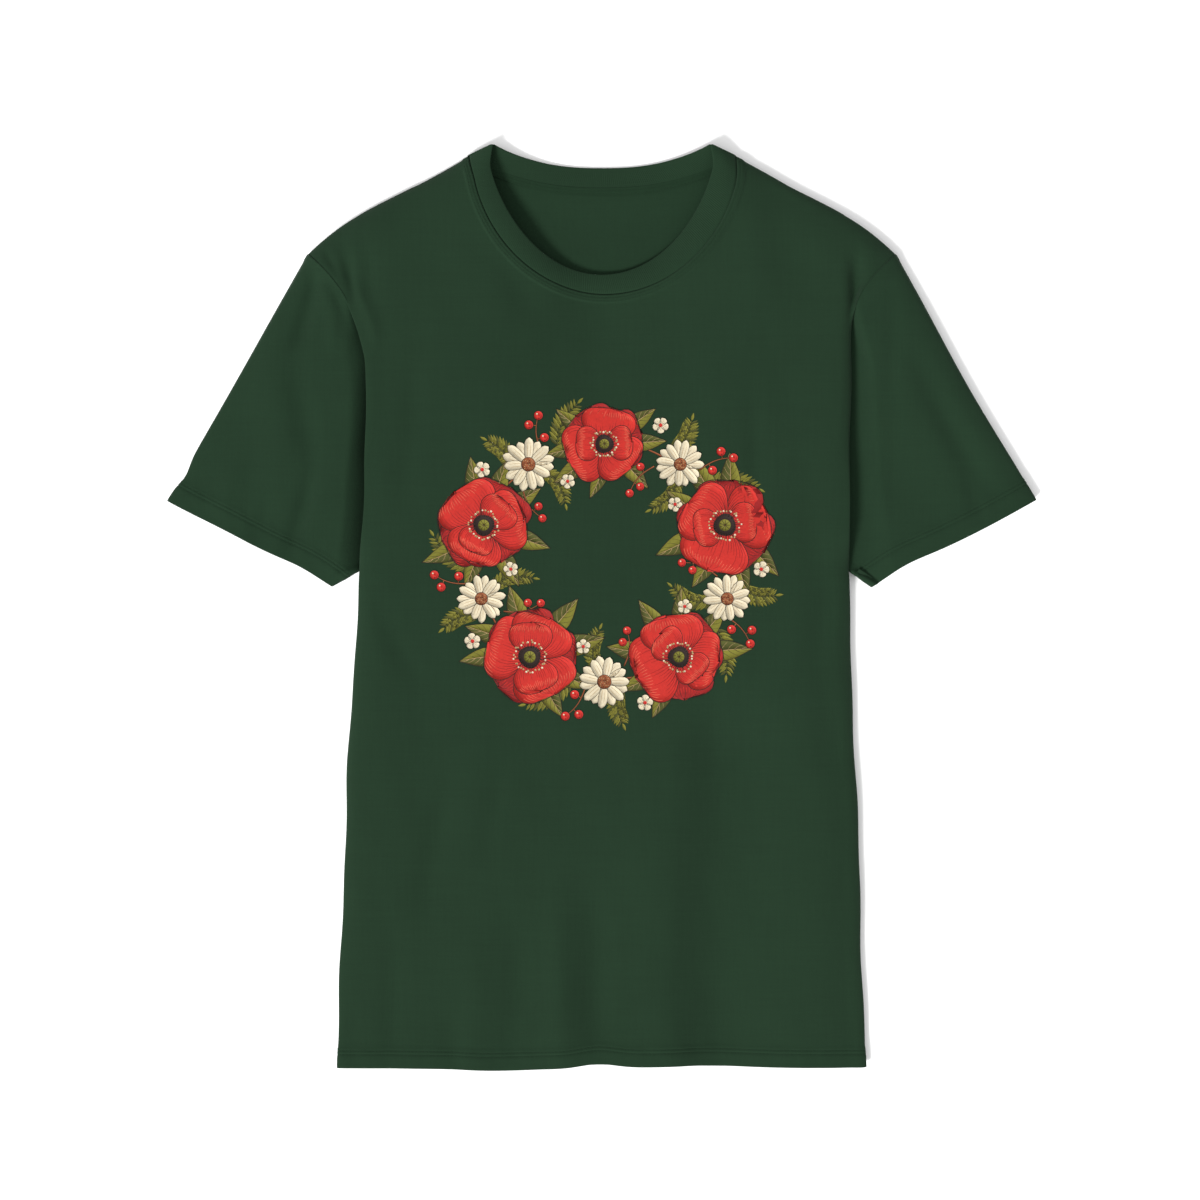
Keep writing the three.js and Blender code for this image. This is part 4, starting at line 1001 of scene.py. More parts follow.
def collar_crossings(sign):
    """Seam and free edge of half of the collar, as if on the +X side: front to back."""
    fraction = np.linspace(0, 1, FRONT_CROSSINGS)
    seam_x, seam_y = front_neck(fraction)
    edge_x, edge_y = front_collar(fraction)
    seam_z = np.maximum(front_height(sign * seam_x, seam_y), RIB_SEAM_FRONT)
    seam_x = seam_x + sign * neck_shift(seam_x, seam_y)
    middle_z = front_height(np.array([0.0]), np.array([FRONT_NECK_Y]))[0] - RIB_FRONT_FALL
    edge_z = mix(middle_z, PEAK_FRONT, smooth(fraction, *COLLAR_RISE[sign]))
    front = np.stack([seam_x, seam_y, seam_z, edge_x, edge_y, edge_z, 0 * fraction + 1], -1)
    turn = np.linspace(0, math.pi, FOLD_CROSSINGS + 2)[1:-1]
    out = unit(NECK_SIDE - COLLAR_PEAK + np.array([4.0, 16.0]))
    bulge = np.sin(turn)
    share = turn / math.pi
    facing = 0.5 + 0.5 * np.cos(turn)
    fold = np.stack([NECK_SIDE[0] + out[0] * bulge * 1.2,
                     NECK_SIDE[1] + out[1] * bulge * 1.2,
                     RIB_SEAM_BACK + (RIB_SEAM_FRONT - RIB_SEAM_BACK) * facing,
                     mix(COLLAR_PEAK[0], BACK_PEAK[0], share) + out[0] * bulge * 1.4,
                     mix(COLLAR_PEAK[1] - PEAK_DRAW, BACK_PEAK[1] - 0.4 * PEAK_DRAW, share)
                     + out[1] * bulge * 0.9,
                     PEAK_BACK + (PEAK_FRONT - PEAK_BACK) * facing,
                     facing], -1)
    across = np.linspace(1, 0, BACK_CROSSINGS)
    seam_x, seam_y = back_neck(across)
    edge_x, edge_y = back_collar(across)
    seam_z = np.clip(back_height(seam_x, seam_y) + 0.25, RIB_BACK_SEAM, RIB_SEAM_BACK)
    edge_z = mix(RIB_BACK_EDGE, PEAK_BACK, across ** 3)
    back = np.stack([seam_x, seam_y, seam_z, edge_x, edge_y, edge_z, 0 * across], -1)
    front[:, 4] -= PEAK_DRAW * smooth(fraction, 0.6, 1)
    back[:, 4] -= PEAK_DRAW * 0.4 * smooth(across, 0.6, 1)
    return np.concatenate([front, fold, back])


def collar_surface():
    flip = np.array([-1, 1, 1, -1, 1, 1, 1])
    loop = np.concatenate([collar_crossings(1), collar_crossings(-1)[-2::-1] * flip])
    middle = (loop[:, :3] + loop[:, 3:6]) / 2
    along = arc_length(middle)
    ridges = int(along[-1] / RIB_PITCH)
    columns = ridges * 6
    at = np.linspace(0, along[-1], columns + 1)[:-1]
    crossing = follow(loop, along, at)
    seam, edge, is_front = crossing[:, :3], crossing[:, 3:6], crossing[:, 6]
    share = RIB_STEPS[:, None, None]
    base = mix(seam[None], edge[None], share)
    base[..., 2] += (0.9 * is_front * np.sin(np.pi * RIB_STEPS[:, None]))
    normal = grid_normals(base, True)
    width = np.linalg.norm(edge - seam, axis=1)[None]
    from_seam, from_edge = RIB_STEPS[:, None] * width, (1 - RIB_STEPS[:, None]) * width
    ridge = RIB_RELIEF * np.cos(2 * math.pi * at / along[-1] * ridges)[None]
    ridge = ridge * smooth(from_seam, 0.2, 1.4) * smooth(from_edge, -0.4, 1.0)
    sunk = folded_edge(from_edge, RIB / 2)
    outer = base + normal * (ridge - sunk - folded_edge(from_seam, 1.1))[..., None]
    inner = base - normal * (RIB + ridge - sunk)[..., None]
    return outer, inner


# ---------------------------------------------------------------- materials

LIGHT = 1.8
GLOSS = 0.0078


def shown(red, green, blue):
    """The base colour that shows as this sRGB colour under the bright studio light."""
    def linear(value):
        value /= 255
        return value / 12.92 if value <= 0.04045 else ((value + 0.055) / 1.055) ** 2.4
    return tuple(max(linear(value) - GLOSS, 0.002) / LIGHT for value in (red, green, blue)) + (1,)


def toned(colour, strength):
    return tuple(min(1, value * strength) for value in colour[:3]) + (1,)


class Graph:
    """A small wrapper that adds and links shader nodes."""

    def __init__(self, name):
        self.material = bpy.data.materials.new(name)
        self.material.use_nodes = True
        self.tree = self.material.node_tree
        self.shader = self.tree.nodes["Principled BSDF"]

    def node(self, kind, inputs=None, **settings):
        made = self.tree.nodes.new(kind)
        for key, value in settings.items():
            setattr(made, key, value)
        for key, value in (inputs or {}).items():
            self.feed(made.inputs[key], value)
        return made

    def feed(self, socket, value):
        if isinstance(value, bpy.types.NodeSocket):
            self.tree.links.new(value, socket)
        else:
            socket.default_value = value

    def math(self, operation, *values):
        made = self.node("ShaderNodeMath", operation=operation)
        for socket, value in zip(made.inputs, values):
            self.feed(socket, value)
        return made.outputs[0]

    def weighted(self, *parts):
        """The sum of some values, each times its weight."""
        total = 0.0
        for value, weight in parts:
            total = self.math("MULTIPLY_ADD", value, weight, total)
        return total

    def noise(self, vector, scale, detail=3, roughness=0.55):
        made = self.node("ShaderNodeTexNoise", {"Vector": vector, "Scale": scale,
                                                "Detail": detail, "Roughness": roughness})
        return made.outputs[0]

    def coordinates(self, turn=0.0, stretch=(1, 1, 1)):
        place = self.node("ShaderNodeTexCoord").outputs["Object"]
        made = self.node("ShaderNodeMapping", {"Vector": place, "Rotation": (0, 0, turn),
                                               "Scale": stretch})
        return made.outputs[0]

    def bump(self, height, distance, normal=None):
        inputs = {"Height": height, "Distance": distance, "Strength": 1.0}
        if normal is not None:
            inputs["Normal"] = normal
        return self.node("ShaderNodeBump", inputs).outputs[0]

    def ramp(self, value, *stops):
        """A colour ramp; each of its two stops is a place, a colour and its strength."""
        made = self.node("ShaderNodeValToRGB", {"Fac": value})
        for element, (place, colour, strength) in zip(made.color_ramp.elements, stops):
            element.position = place
            element.color = toned(colour, strength)
        return made.outputs[0]

    def finish(self, colour, roughness, specular, normal=None, sheen=0.0):
        """Sets the shader; cloth has a faint green sheen."""
        inputs = self.shader.inputs
        for name, value in (("Base Color", colour), ("Roughness", roughness),
                            ("Specular IOR Level", specular)):
            self.feed(inputs[name], value)
        if normal is not None:
            self.feed(inputs["Normal"], normal)
        if sheen:
            inputs["Sheen Weight"].default_value = sheen
            inputs["Sheen Roughness"].default_value = 0.5
            inputs["Sheen Tint"].default_value = (0.75, 0.95, 0.8, 1)
        return self.material


CLOTH_SHEEN = 0.04

# Width of a knitted column and height of a knitted row, in metres.
WALE = 0.00085
COURSE = 0.00068


def knit_height(graph, turn):
    """Height of plain jersey: columns of small V-shaped stitches."""
    split = graph.node("ShaderNodeSeparateXYZ", {"Vector": graph.coordinates(turn)})
    column = graph.math("FRACT", graph.math("DIVIDE", split.outputs[0], WALE))
    off = graph.math("ABSOLUTE", graph.math("SUBTRACT", column, 0.5))
    leg = graph.math("SUBTRACT", 1.0, graph.math("MULTIPLY", 3.6, graph.math(
        "ABSOLUTE", graph.math("SUBTRACT", off, 0.24))))
    slant = graph.math("ADD", graph.math("DIVIDE", split.outputs[1], COURSE),
                       graph.math("MULTIPLY", off, 1.7))
    wave = graph.math("SINE", graph.math("MULTIPLY", slant, 2 * math.pi))
    return graph.math("ADD", leg, graph.math("MULTIPLY", 0.4, wave))


def cotton_colour(graph, colour, turn, amount):
    """Base colour with slub lines, a faint heather and slow patches."""
    slub = graph.noise(graph.coordinates(turn, (26, 900, 26)), 1.0, 2)
    wale = graph.noise(graph.coordinates(turn, (850, 34, 34)), 1.0, 2)
    patch = graph.noise(graph.coordinates(turn), 9.0, 3)
    fleck = graph.noise(graph.coordinates(turn), 1500.0, 1)
    total = graph.weighted((slub, 0.34), (wale, 0.3), (patch, 0.2), (fleck, 0.16))
    return graph.ramp(total, (0.36, colour, 1 - amount), (0.64, colour, 1 + amount))


def jersey(name, colour, turn=0.0):
    graph = Graph(name)
    fuzz = graph.noise(graph.coordinates(turn), 420.0, 4, 0.7)
    knit = graph.bump(knit_height(graph, turn), 0.00006)
    return graph.finish(cotton_colour(graph, colour, turn, 0.075), 0.92, 0.08,
                        graph.bump(fuzz, 0.00022, knit), CLOTH_SHEEN)


def ribbed(name, colour):
    graph = Graph(name)
    fuzz = graph.noise(graph.coordinates(), 900.0, 3, 0.7)
    return graph.finish(cotton_colour(graph, colour, 0.0, 0.08), 0.92, 0.08,
                        graph.bump(fuzz, 0.00012), CLOTH_SHEEN)


def thread(name, colour):
    graph = Graph(name)
    twist = graph.noise(graph.coordinates(0.6, (1800, 500, 500)), 1.0, 2)
    shade = graph.node("ShaderNodeMix", {"Factor": twist}, data_type="RGBA")
    shade.inputs[6].default_value = toned(colour, 0.75)
    shade.inputs[7].default_value = toned(colour, 1.25)
    return graph.finish(shade.outputs[2], 0.75, 0.1, graph.bump(twist, 0.00008))


def twill(name, colour):
    graph = Graph(name)
    split = graph.node("ShaderNodeSeparateXYZ", {"Vector": graph.coordinates(0.75)})
    ridge = graph.math("SINE", graph.math("MULTIPLY", split.outputs[0], 2 * math.pi / 0.0008))
    return graph.finish(cotton_colour(graph, colour, 0.0, 0.1), 0.9, 0.08,
                        graph.bump(ridge, 0.00008))


def ink(name, colour):
    graph = Graph(name)
    grain = graph.noise(graph.coordinates(), 620.0, 4, 0.65)
    slow = graph.noise(graph.coordinates(), 70.0, 3)
    mottled = graph.weighted((grain, 0.6), (slow, 0.4))
    return graph.finish(graph.ramp(mottled, (0.3, colour, 0.78), (0.66, colour, 1.1)), 0.8, 0.3,
                        graph.bump(knit_height(graph, 0.0), 0.00003))


BODY_GREEN = shown(41.9, 61.8, 45.8)
BACK_GREEN = shown(40.4, 60.0, 44.3)
SLEEVE_GREEN = shown(42.0, 62.1, 46.0)
THREAD_GREEN = shown(39.9, 59.8, 43.8)
SLEEVE_TURN = math.atan2(CUFF_TOP[0] - CUFF_BOTTOM[0], CUFF_TOP[1] - CUFF_BOTTOM[1])
INK_COLOURS = {
    "red": shown(208, 46, 37),
    "red_dark": shown(158, 28, 27),
    "red_light": shown(232, 98, 74),
    "cream": shown(236, 222, 190),
    "tan": shown(190, 158, 112),
    "olive": shown(128, 124, 42),
    "olive_dark": shown(82, 84, 32),
    "brown": shown(148, 82, 46),
    "dark": shown(44, 30, 25),
}


def make_materials():
    materials["jersey"] = jersey("jersey", BODY_GREEN)
    materials["jersey_back"] = jersey("jersey_back", BACK_GREEN)
    materials["jersey_left"] = jersey("jersey_left_sleeve", SLEEVE_GREEN, SLEEVE_TURN)
    materials["jersey_right"] = jersey("jersey_right_sleeve", SLEEVE_GREEN, -SLEEVE_TURN)
    materials["rib"] = ribbed("rib", BODY_GREEN)
    materials["thread"] = thread("thread", THREAD_GREEN)
    materials["tape"] = twill("tape", BACK_GREEN)
    for name, colour in INK_COLOURS.items():
        materials["ink_" + name] = ink("ink_" + name, colour)


# ---------------------------------------------------------------- the printed wreath

INK = 0.04
INK_GAP = 0.06
LEVEL = 0.016


class Print:
    """Collects thin patches of ink by colour; each one lies on a level over the cloth."""

    def __init__(self):
        self.patches = {name: [] for name in INK_COLOURS}
        self.level = 0

    def next_level(self, level=None):
        self.level = self.level + 1 if level is None else level

    def patch(self, colour, plan, raised=0.0, wrap=False):
        """plan[rows, columns, 2] on the shirt; it is turned to face up if need be."""
        row, column = plan.shape[0] // 2, plan.shape[1] // 2
        u = plan[row, column] - plan[row - 1, column]
        v = plan[row, column] - plan[row, column - 1]
        if u[0] * v[1] - u[1] * v[0] > 0:
            plan = plan[:, ::-1]
        self.patches[colour].append((plan, self.level + raised, wrap))

    def stroke(self, colour, line, widths, raised=0.5):
        """A line of varying width along line[k, 2]."""
        run = unit(np.gradient(line, axis=0))
        half = np.broadcast_to(widths, len(line))[:, None] / 2
        side = np.stack([-run[:, 1], run[:, 0]], -1) * half
        self.patch(colour, np.stack([line - side, line + side], 1), raised)

    def disc(self, colour, centre, radius, raised, sides, rings, wobble=0.0):
        angle = np.arange(sides) * 2 * math.pi / sides
        shape = radius * (1 + wobble * np.sin(angle * 3 + centre[0]))
        around = heading(angle) * shape[:, None]
        steps = np.linspace(0.04, 1, rings + 1)[:, None, None]
        self.patch(colour, centre + around[None] * steps, raised, wrap=True)

    def pieces(self):
        """One piece for each colour."""
        made = []
        for colour, patches in self.patches.items():
            parts, rims = [], []
            for plan, level, wrap in patches:
                x, y = plan[..., 0], plan[..., 1]
                z = front_height(x, y) + INK_GAP + INK + LEVEL * level
                outer = np.stack([x, y, z], -1)
                points, quads, is_rim = closed_sheet(outer, outer - INK * UP, wrap)
                parts.append((points, quads))
                rims.append(is_rim)
            made.append(store("print_" + colour, *joined(parts), "print_ink", "ink_" + colour,
                              flat=np.concatenate(rims)))
        return made


def turned(u, v, angle):
    return np.stack([u * math.cos(angle) - v * math.sin(angle),
                     u * math.sin(angle) + v * math.cos(angle)], -1)


# For each kind of petal: its half width at the foot as a share of the widest, how far out it is
# widest, and how square its tip is.
PETAL_KINDS = {"round": (0.16, 0.58, 2.7), "strap": (0.42, 0.66, 2.2)}


class Petal:
    """A leaf or petal shape from its base outwards: at(u, t) with u 0..1 and t -1..1."""

    def __init__(self, base, angle, length, width, kind, bend=0.0, ruffle=0.0, phase=0.0):
        self.base, self.angle, self.length, self.width = base, angle, length, width
        self.kind, self.bend, self.ruffle, self.phase = kind, bend, ruffle, phase

    def profile(self, u):
        u = np.clip(u, 0, 1)
        if self.kind == "lens":
            return np.sin(math.pi * np.clip(u, 0.001, 0.999) ** 0.82) ** 1.05
        foot, widest, power = PETAL_KINDS[self.kind]
        rise = foot + (1 - foot) * np.sin(math.pi / 2 * np.clip(u / widest, 0, 1))
        tip = np.clip((u - widest) / (1 - widest), 0, 1)
        return np.where(u < widest, rise, np.maximum(1 - tip ** power, 0) ** (1 / power))

    def at(self, u, t):
        u, t = np.broadcast_arrays(np.asarray(u, float), np.asarray(t, float))
        wavy = np.sin(t * 7.5 + self.phase) + 0.6 * np.sin(t * 13 + 2 * self.phase)
        stretch = 1 + self.ruffle * wavy * smooth(u, 0.5, 1)
        along = u * self.length * stretch
        across = t * (self.width / 2 * self.profile(u) + 0.02) + self.bend * self.length * u ** 2
        return self.base + turned(along, across, self.angle)

    def fill(self, art, colour, rows, columns, low=-1.0, high=1.0):
        u = mix(eased(rows + 1), np.linspace(0, 1, rows + 1), 0.5)
        t = np.linspace(low, high, columns + 1)
        art.patch(colour, self.at(u[:, None], t[None, :]))

    def outline(self, art, width, steps):
        for side in (-1, 1):
            line = self.at(eased(steps, 0.05), side)
            tip = self.at(1, side * np.linspace(0.75, 0, 4))
            art.stroke("dark", np.concatenate([line, tip]), width)

    def vein(self, art, colour, t, start, end, width, steps):
        taper = width * np.sin(math.pi * np.linspace(0.16, 0.97, steps)) ** 0.7
        art.stroke(colour, self.at(np.linspace(start, end, steps), t), taper)


def leaf(art, base, angle, length, bend):
    shape = Petal(base, angle, length, length * 0.4, "lens", bend)
    shape.fill(art, "olive", 8, 2, -1, 0)
    shape.fill(art, "olive_dark", 8, 2, 0, 1)
    shape.outline(art, 0.42, 11)
    art.stroke("tan", shape.at(np.linspace(0.0, 0.96, 9), 0), np.linspace(0.75, 0.2, 9))
    for start in 0.14 + 0.13 * np.arange(6):
        for side, colour in ((-1, "dark"), (1, "tan")):
            reach = np.linspace(0, 1, 4)
            line = shape.at(start + 0.17 * reach, side * 0.86 * reach ** 0.9)
            art.stroke(colour, line, np.linspace(0.34, 0.14, 4))


# For each layer of a poppy: how many petals, their turn, their size, how wide they are for their
# length, and the colours of the petals, of their dark hatching and of their light tips.
POPPY_LAYERS = [(3, 0.3, 1.0, 1.5, "red_dark", "dark", "red"),
                (3, 1.35, 0.97, 1.5, "red", "red_dark", "red_light"),
                (2, 0.1, 0.72, 1.25, "red", "red_dark", "red_light")]
STAMENS = 34


def poppy(art, centre, radius, turn, rng):
    for count, shift, size, wide, colour, hatch, light in POPPY_LAYERS:
        for k in range(count):
            art.next_level()
            angle = turn + shift + k * 2 * math.pi / count + 0.12 * rng.standard_normal()
            length = radius * size * (1 + 0.05 * rng.standard_normal())
            bend = 0.05 * rng.standard_normal()
            shape = Petal(centre, angle, length, length * wide, "round", bend, 0.028,
                          rng.uniform(0, 6))
            shape.fill(art, colour, 8, 8)
            shape.outline(art, 0.5, 14)
            for t in np.linspace(-0.9, 0.9, 21):
                reach = 0.4 + 0.34 * rng.random() + 0.2 * t * t
                shape.vein(art, hatch, t, 0.12, reach, 0.5, 5)
                start = 0.68 + 0.1 * rng.random()
                shape.vein(art, light, t + 0.03, start, 0.93 - 0.05 * rng.random(), 0.55, 4)
            for t in np.linspace(-0.8, 0.8, 9) + 0.05:
                shape.vein(art, "dark", t, 0.1, 0.26 + 0.16 * rng.random(), 0.42, 4)
                shape.vein(art, hatch, t + 0.04, 0.8, 0.99, 0.36, 3)
    art.next_level()
    art.disc("dark", centre, radius * 0.25, 0, 20, 2, 0.05)
    for k in range(STAMENS):
        way = heading(k * 2 * math.pi / STAMENS + 0.06 * rng.standard_normal())
        reach = radius * (0.3 + 0.07 * rng.random())
        line = centre + way * np.linspace(radius * 0.2, reach, 3)[:, None]
        art.stroke("dark", line, np.array([0.5, 0.35, 0.25]), 0.2)
        size = 0.75 + 0.2 * rng.random()
        art.disc("tan" if k % 3 else "cream", centre + way * reach, size, 0.6, 6, 1)
    art.next_level()
    art.disc("olive", centre, radius * 0.13, 0, 16, 1)
    for k in range(9):
        line = centre + heading(k * 0.698) * np.linspace(0.3, radius * 0.12, 3)[:, None]
        art.stroke("dark", line, 0.35)


DAISY_PETALS = 15
DAISY_HEART = 0.27
FLORETS = 26
FLORET_TURN = 2.39996


def daisy(art, centre, radius, turn, rng):
    for half in (0, 1):
        art.next_level()
        for k in range(half, DAISY_PETALS, 2):
            angle = turn + k * 2 * math.pi / DAISY_PETALS + 0.04 * rng.standard_normal()
            length = radius * (0.92 + 0.14 * rng.random())
            bend = 0.04 * rng.standard_normal()
            shape = Petal(centre, angle, length, radius * 0.36, "strap", bend)
            shape.fill(art, "cream", 6, 2)
            shape.outline(art, 0.32, 8)
            for t in (-0.35, 0.3):
                shape.vein(art, "tan", t, 0.3, 0.8, 0.34, 4)
    art.next_level()
    art.disc("brown", centre, radius * DAISY_HEART, 0, 16, 2)
    for k in range(FLORETS):
        reach = radius * 0.24 * math.sqrt((k + 0.5) / FLORETS)
        place = centre + reach * heading(k * FLORET_TURN)
        art.disc("dark" if k % 2 else "tan", place, 0.42, 0.5, 6, 1)
    ring = centre + radius * DAISY_HEART * heading(np.linspace(0, 2 * math.pi, 19))
    art.stroke("dark", ring, 0.4)


def small_flower(art, centre, radius, turn):
    art.next_level()
    for k in range(5):
        shape = Petal(centre, turn + k * 2 * math.pi / 5, radius, radius * 0.86, "round")
        shape.fill(art, "cream", 5, 3)
        shape.outline(art, 0.3, 8)
        shape.vein(art, "tan", 0.0, 0.3, 0.75, 0.3, 3)
    art.disc("red", centre, radius * 0.24, 0.8, 8, 1)


def stem(art, start, end, bow, width, colour="brown", steps=12):
    """A bowed stem; returns its points, and the way it runs at each."""
    share = np.linspace(0, 1, steps)[:, None]
    run = end - start
    side = np.array([-run[1], run[0]])
    line = start + run * share + side * bow * np.sin(math.pi * share)
    art.stroke("dark", line, np.linspace(width + 0.5, 0.7, steps), 0.0)
    art.stroke(colour, line, np.linspace(width, 0.4, steps))
    return line, np.gradient(line, axis=0)


def fern(art, start, end, bow, size):
    art.next_level()
    line, run = stem(art, start, end, bow, 0.9, "olive_dark", 15)
    for k in range(2, len(line) - 1):
        way = math.atan2(run[k, 1], run[k, 0])
        reach = size * math.sin(math.pi * (0.18 + 0.76 * k / len(line))) ** 0.8
        for side in (-1, 1):
            shape = Petal(line[k], way + side * 0.95, reach, reach * 0.34, "lens", side * -0.12)
            shape.fill(art, "olive" if (k + side) % 3 else "olive_dark", 4, 2)
            shape.vein(art, "dark", 0.0, 0.05, 0.85, 0.26, 3)
    tip = Petal(line[-1], math.atan2(run[-1, 1], run[-1, 0]), size * 0.6, size * 0.22, "lens")
    tip.fill(art, "olive", 4, 2)


# The discs of a berry: colour, where its middle lies, its size (both as shares of the berry's)
# and level. The dark disc below them is wider by BERRY_EDGE.
BERRY_COUNT = 3
BERRY_EDGE = 0.38
BERRY_DISCS = [("red", (0, 0), 1.0, 0.4, 14, 2), ("cream", (-0.32, 0.34), 0.2, 1.0, 7, 1),
               ("dark", (0.1, -0.62), 0.14, 1.0, 6, 1)]


def berries(art, start, end, bow, size):
    art.next_level()
    line, run = stem(art, start, end, bow, 1.0)
    for k in range(BERRY_COUNT):
        at = int(len(line) * (0.35 + 0.64 * k / (BERRY_COUNT - 1))) - 1
        side = 1 if k % 2 else -1
        normal = unit(np.array([-run[at, 1], run[at, 0]]))
        centre = line[at] + normal * side * size * 1.7 * (k < BERRY_COUNT - 1)
        art.stroke("brown", np.linspace(line[at], centre, 3), 0.6)
        art.next_level()
        art.disc("dark", centre, size + BERRY_EDGE, 0, 14, 1)
        for colour, place, share, raised, sides, rings in BERRY_DISCS:
            art.disc(colour, centre + np.array(place) * size, size * share, raised, sides, rings)
        arc = centre + 0.72 * size * heading(np.linspace(-1.3, 0.5, 6))
        art.stroke("red_dark", arc, np.array([0.2, 0.5, 0.7, 0.7, 0.5, 0.2]), 0.8)


# Half the width and half the height of the ring that the heads lie on. A place on it is an angle
# in degrees from +X and a share of the ring's size. Poppies and small flowers have a size in
# millimetres; ferns and berries have where they start and end, seen from a daisy, their bow and
# a size.
WREATH = np.array([101.0, 93.93])
POPPIES = [(90, 30), (162, 34), (234, 36), (306, 34), (18, 36)]
DAISIES = [54, 126, 198, 270, 342]
FERNS = [((-14, 1.0), (-27, 1.36), 0.12, 11), ((8, 1.05), (6, 1.38), -0.14, 11),
         ((-2, 0.95), (-4, 0.58), 0.16, 10)]
BERRIES = [((-8, 1.08), (-14, 1.37), 0.1, 3.5), ((10, 0.9), (17, 0.58), -0.12, 3.2)]
SMALL_FLOWERS = [(15, 1.24, 6.6), (-13, 0.74, 6.0)]
LEAF_OFFSETS = [-56, 60, -92, 97, -131, 136, 178]
LEVELS = {"ferns": 3, "leaves": 5, "berries": 12, "small": 15, "daisies": 17, "poppies": 19}


def on_ring(angle, share):
    return PRINT_CENTRE + WREATH * share * heading(math.radians(angle))


def between(angle, start, end):
    """Two places on the ring, given from an angle."""
    return on_ring(angle + start[0], start[1]), on_ring(angle + end[0], end[1])


def wreath():
    """A round wreath of poppies, daisies, leaves and berries."""
    rng = np.random.default_rng(7)
    art = Print()
    for k, angle in enumerate(np.arange(0, 360, 24)):
        art.next_level(k % 3)
        stem(art, *between(angle, (0, 0.98), (34, 1.02)), -0.08, 2.2)
    for angle in DAISIES:
        for start, end, bow, size in FERNS:
            art.next_level(LEVELS["ferns"])
            fern(art, *between(angle, start, end), bow, size)
    for angle, size in POPPIES:
        for k, offset in enumerate(LEAF_OFFSETS):
            art.next_level(LEVELS["leaves"] + k)
            way = math.radians(angle + offset)
            base = on_ring(angle, 1.0) + 0.5 * size * heading(way)
            length = size * (1.16 + 0.08 * rng.standard_normal())
            way = way + 0.12 * rng.standard_normal()
            leaf(art, base, way, length, 0.1 * rng.standard_normal())
    for k, angle in enumerate(DAISIES):
        for start, end, bow, size in BERRIES:
            art.next_level(LEVELS["berries"])
            berries(art, *between(angle, start, end), bow, size)
        for shift, reach, size in SMALL_FLOWERS:
            art.next_level(LEVELS["small"])
            small_flower(art, on_ring(angle + shift, reach), size, k + 0.4 * shift)
        art.next_level(LEVELS["daisies"])
        daisy(art, on_ring(angle, 1.02), 19 + (k % 2) * 2, 0.3 * k, rng)
    for k, (angle, size) in enumerate(POPPIES):
        art.next_level(LEVELS["poppies"])
        poppy(art, on_ring(angle, 1.0), size, 0.8 * k, rng)
    return art.pieces()


# ---------------------------------------------------------------- building the shirt

def build_panels():
    """Makes the cloth; returns its pieces, and the grids that the stitches lie on."""
    made, grids = {}, {}
    grids["front"] = outer, _, inner = front_surface()
    made["front"] = cloth("front_cloth", outer, inner, "jersey", "front_panel")
    grids["back"] = outer, _, inner = back_surface()
    made["back"] = cloth("back_cloth", outer, inner, "jersey_back", "back_panel", flip=True)
    for sign, side in BOTH_SIDES:
        grids[side] = outer, _, inner = sleeve_surface(sign)
        made[side] = cloth(f"{side}_sleeve_cloth", outer, inner, f"jersey_{side}",
                           f"{side}_sleeve", wrap=True, sign=sign)
    made["rib"] = cloth("collar_rib", *collar_surface(), "rib", "neck_rib", "rib", wrap=True)
    return made, grids


def collar_line(distance):
    """A line on the front, that far outside the collar's seam, from shoulder to shoulder."""
    fraction = np.linspace(0, 1, 260)
    x, y = front_neck(fraction)
    slide_x, slide_y = neck_slide(front_neck, fraction)
    x, y = x + slide_x * distance, y + slide_y * distance
    rise = np.linspace(0, 12, 25)[1:]
    x = np.concatenate([x, np.full(24, x[-1])])
    y = np.concatenate([y, y[-1] + rise])
    off = (x - NECK_SIDE[0]) * SHOULDER_NORMAL[0] + (y - NECK_SIDE[1]) * SHOULDER_NORMAL[1]
    inside = off < -1.0
    x, y = x[inside], y[inside]
    x, y = np.concatenate([-x[:0:-1], x]), np.concatenate([y[:0:-1], y])
    z = front_height(x, y) + collar_relief(np.full(len(x), distance))
    return np.stack([x + neck_shift(x, y), y, z], -1)


def hem_rows():
    return [HEM_ROWS.index(distance) for distance in HEM_STITCHES]


def looper(inner, normal, lower, upper, columns):
    """The looper thread between two rows of a hem, inside it."""
    lift = -0.5 * normal[lower, columns] * THREAD
    return zigzag(inner[lower, columns] + lift, inner[upper, columns] + lift, UP, STITCH_PITCH)


def front_stitches(grids):
    outer, normal, _ = grids["front"]
    for row, level in zip(hem_rows(), ("lower", "upper")):
        sewn(f"hem_stitches_{level}", stitch_row(outer[row, 4:-4], normal[row, 4:-4]),
             f"hem_topstitch_{level}")
    for distance, level in zip(NECK_STITCHES, ("inner", "outer")):
        path = collar_line(distance)
        sewn(f"collar_stitches_{level}", stitch_row(path, np.broadcast_to(UP, path.shape)),
             f"collar_topstitch_{level}")


def hem_back_stitches(grids):
    outer, normal, inner = grids["back"]
    under = [stitch_row(outer[row, 4:-4], normal[row, 4:-4]) for row in hem_rows()]
    sewn("back_hem_stitches", joined(under))
    sewn("back_hem_looper", looper(inner, normal, *hem_rows(), slice(6, -6)),
         "back_hem_coverstitch")


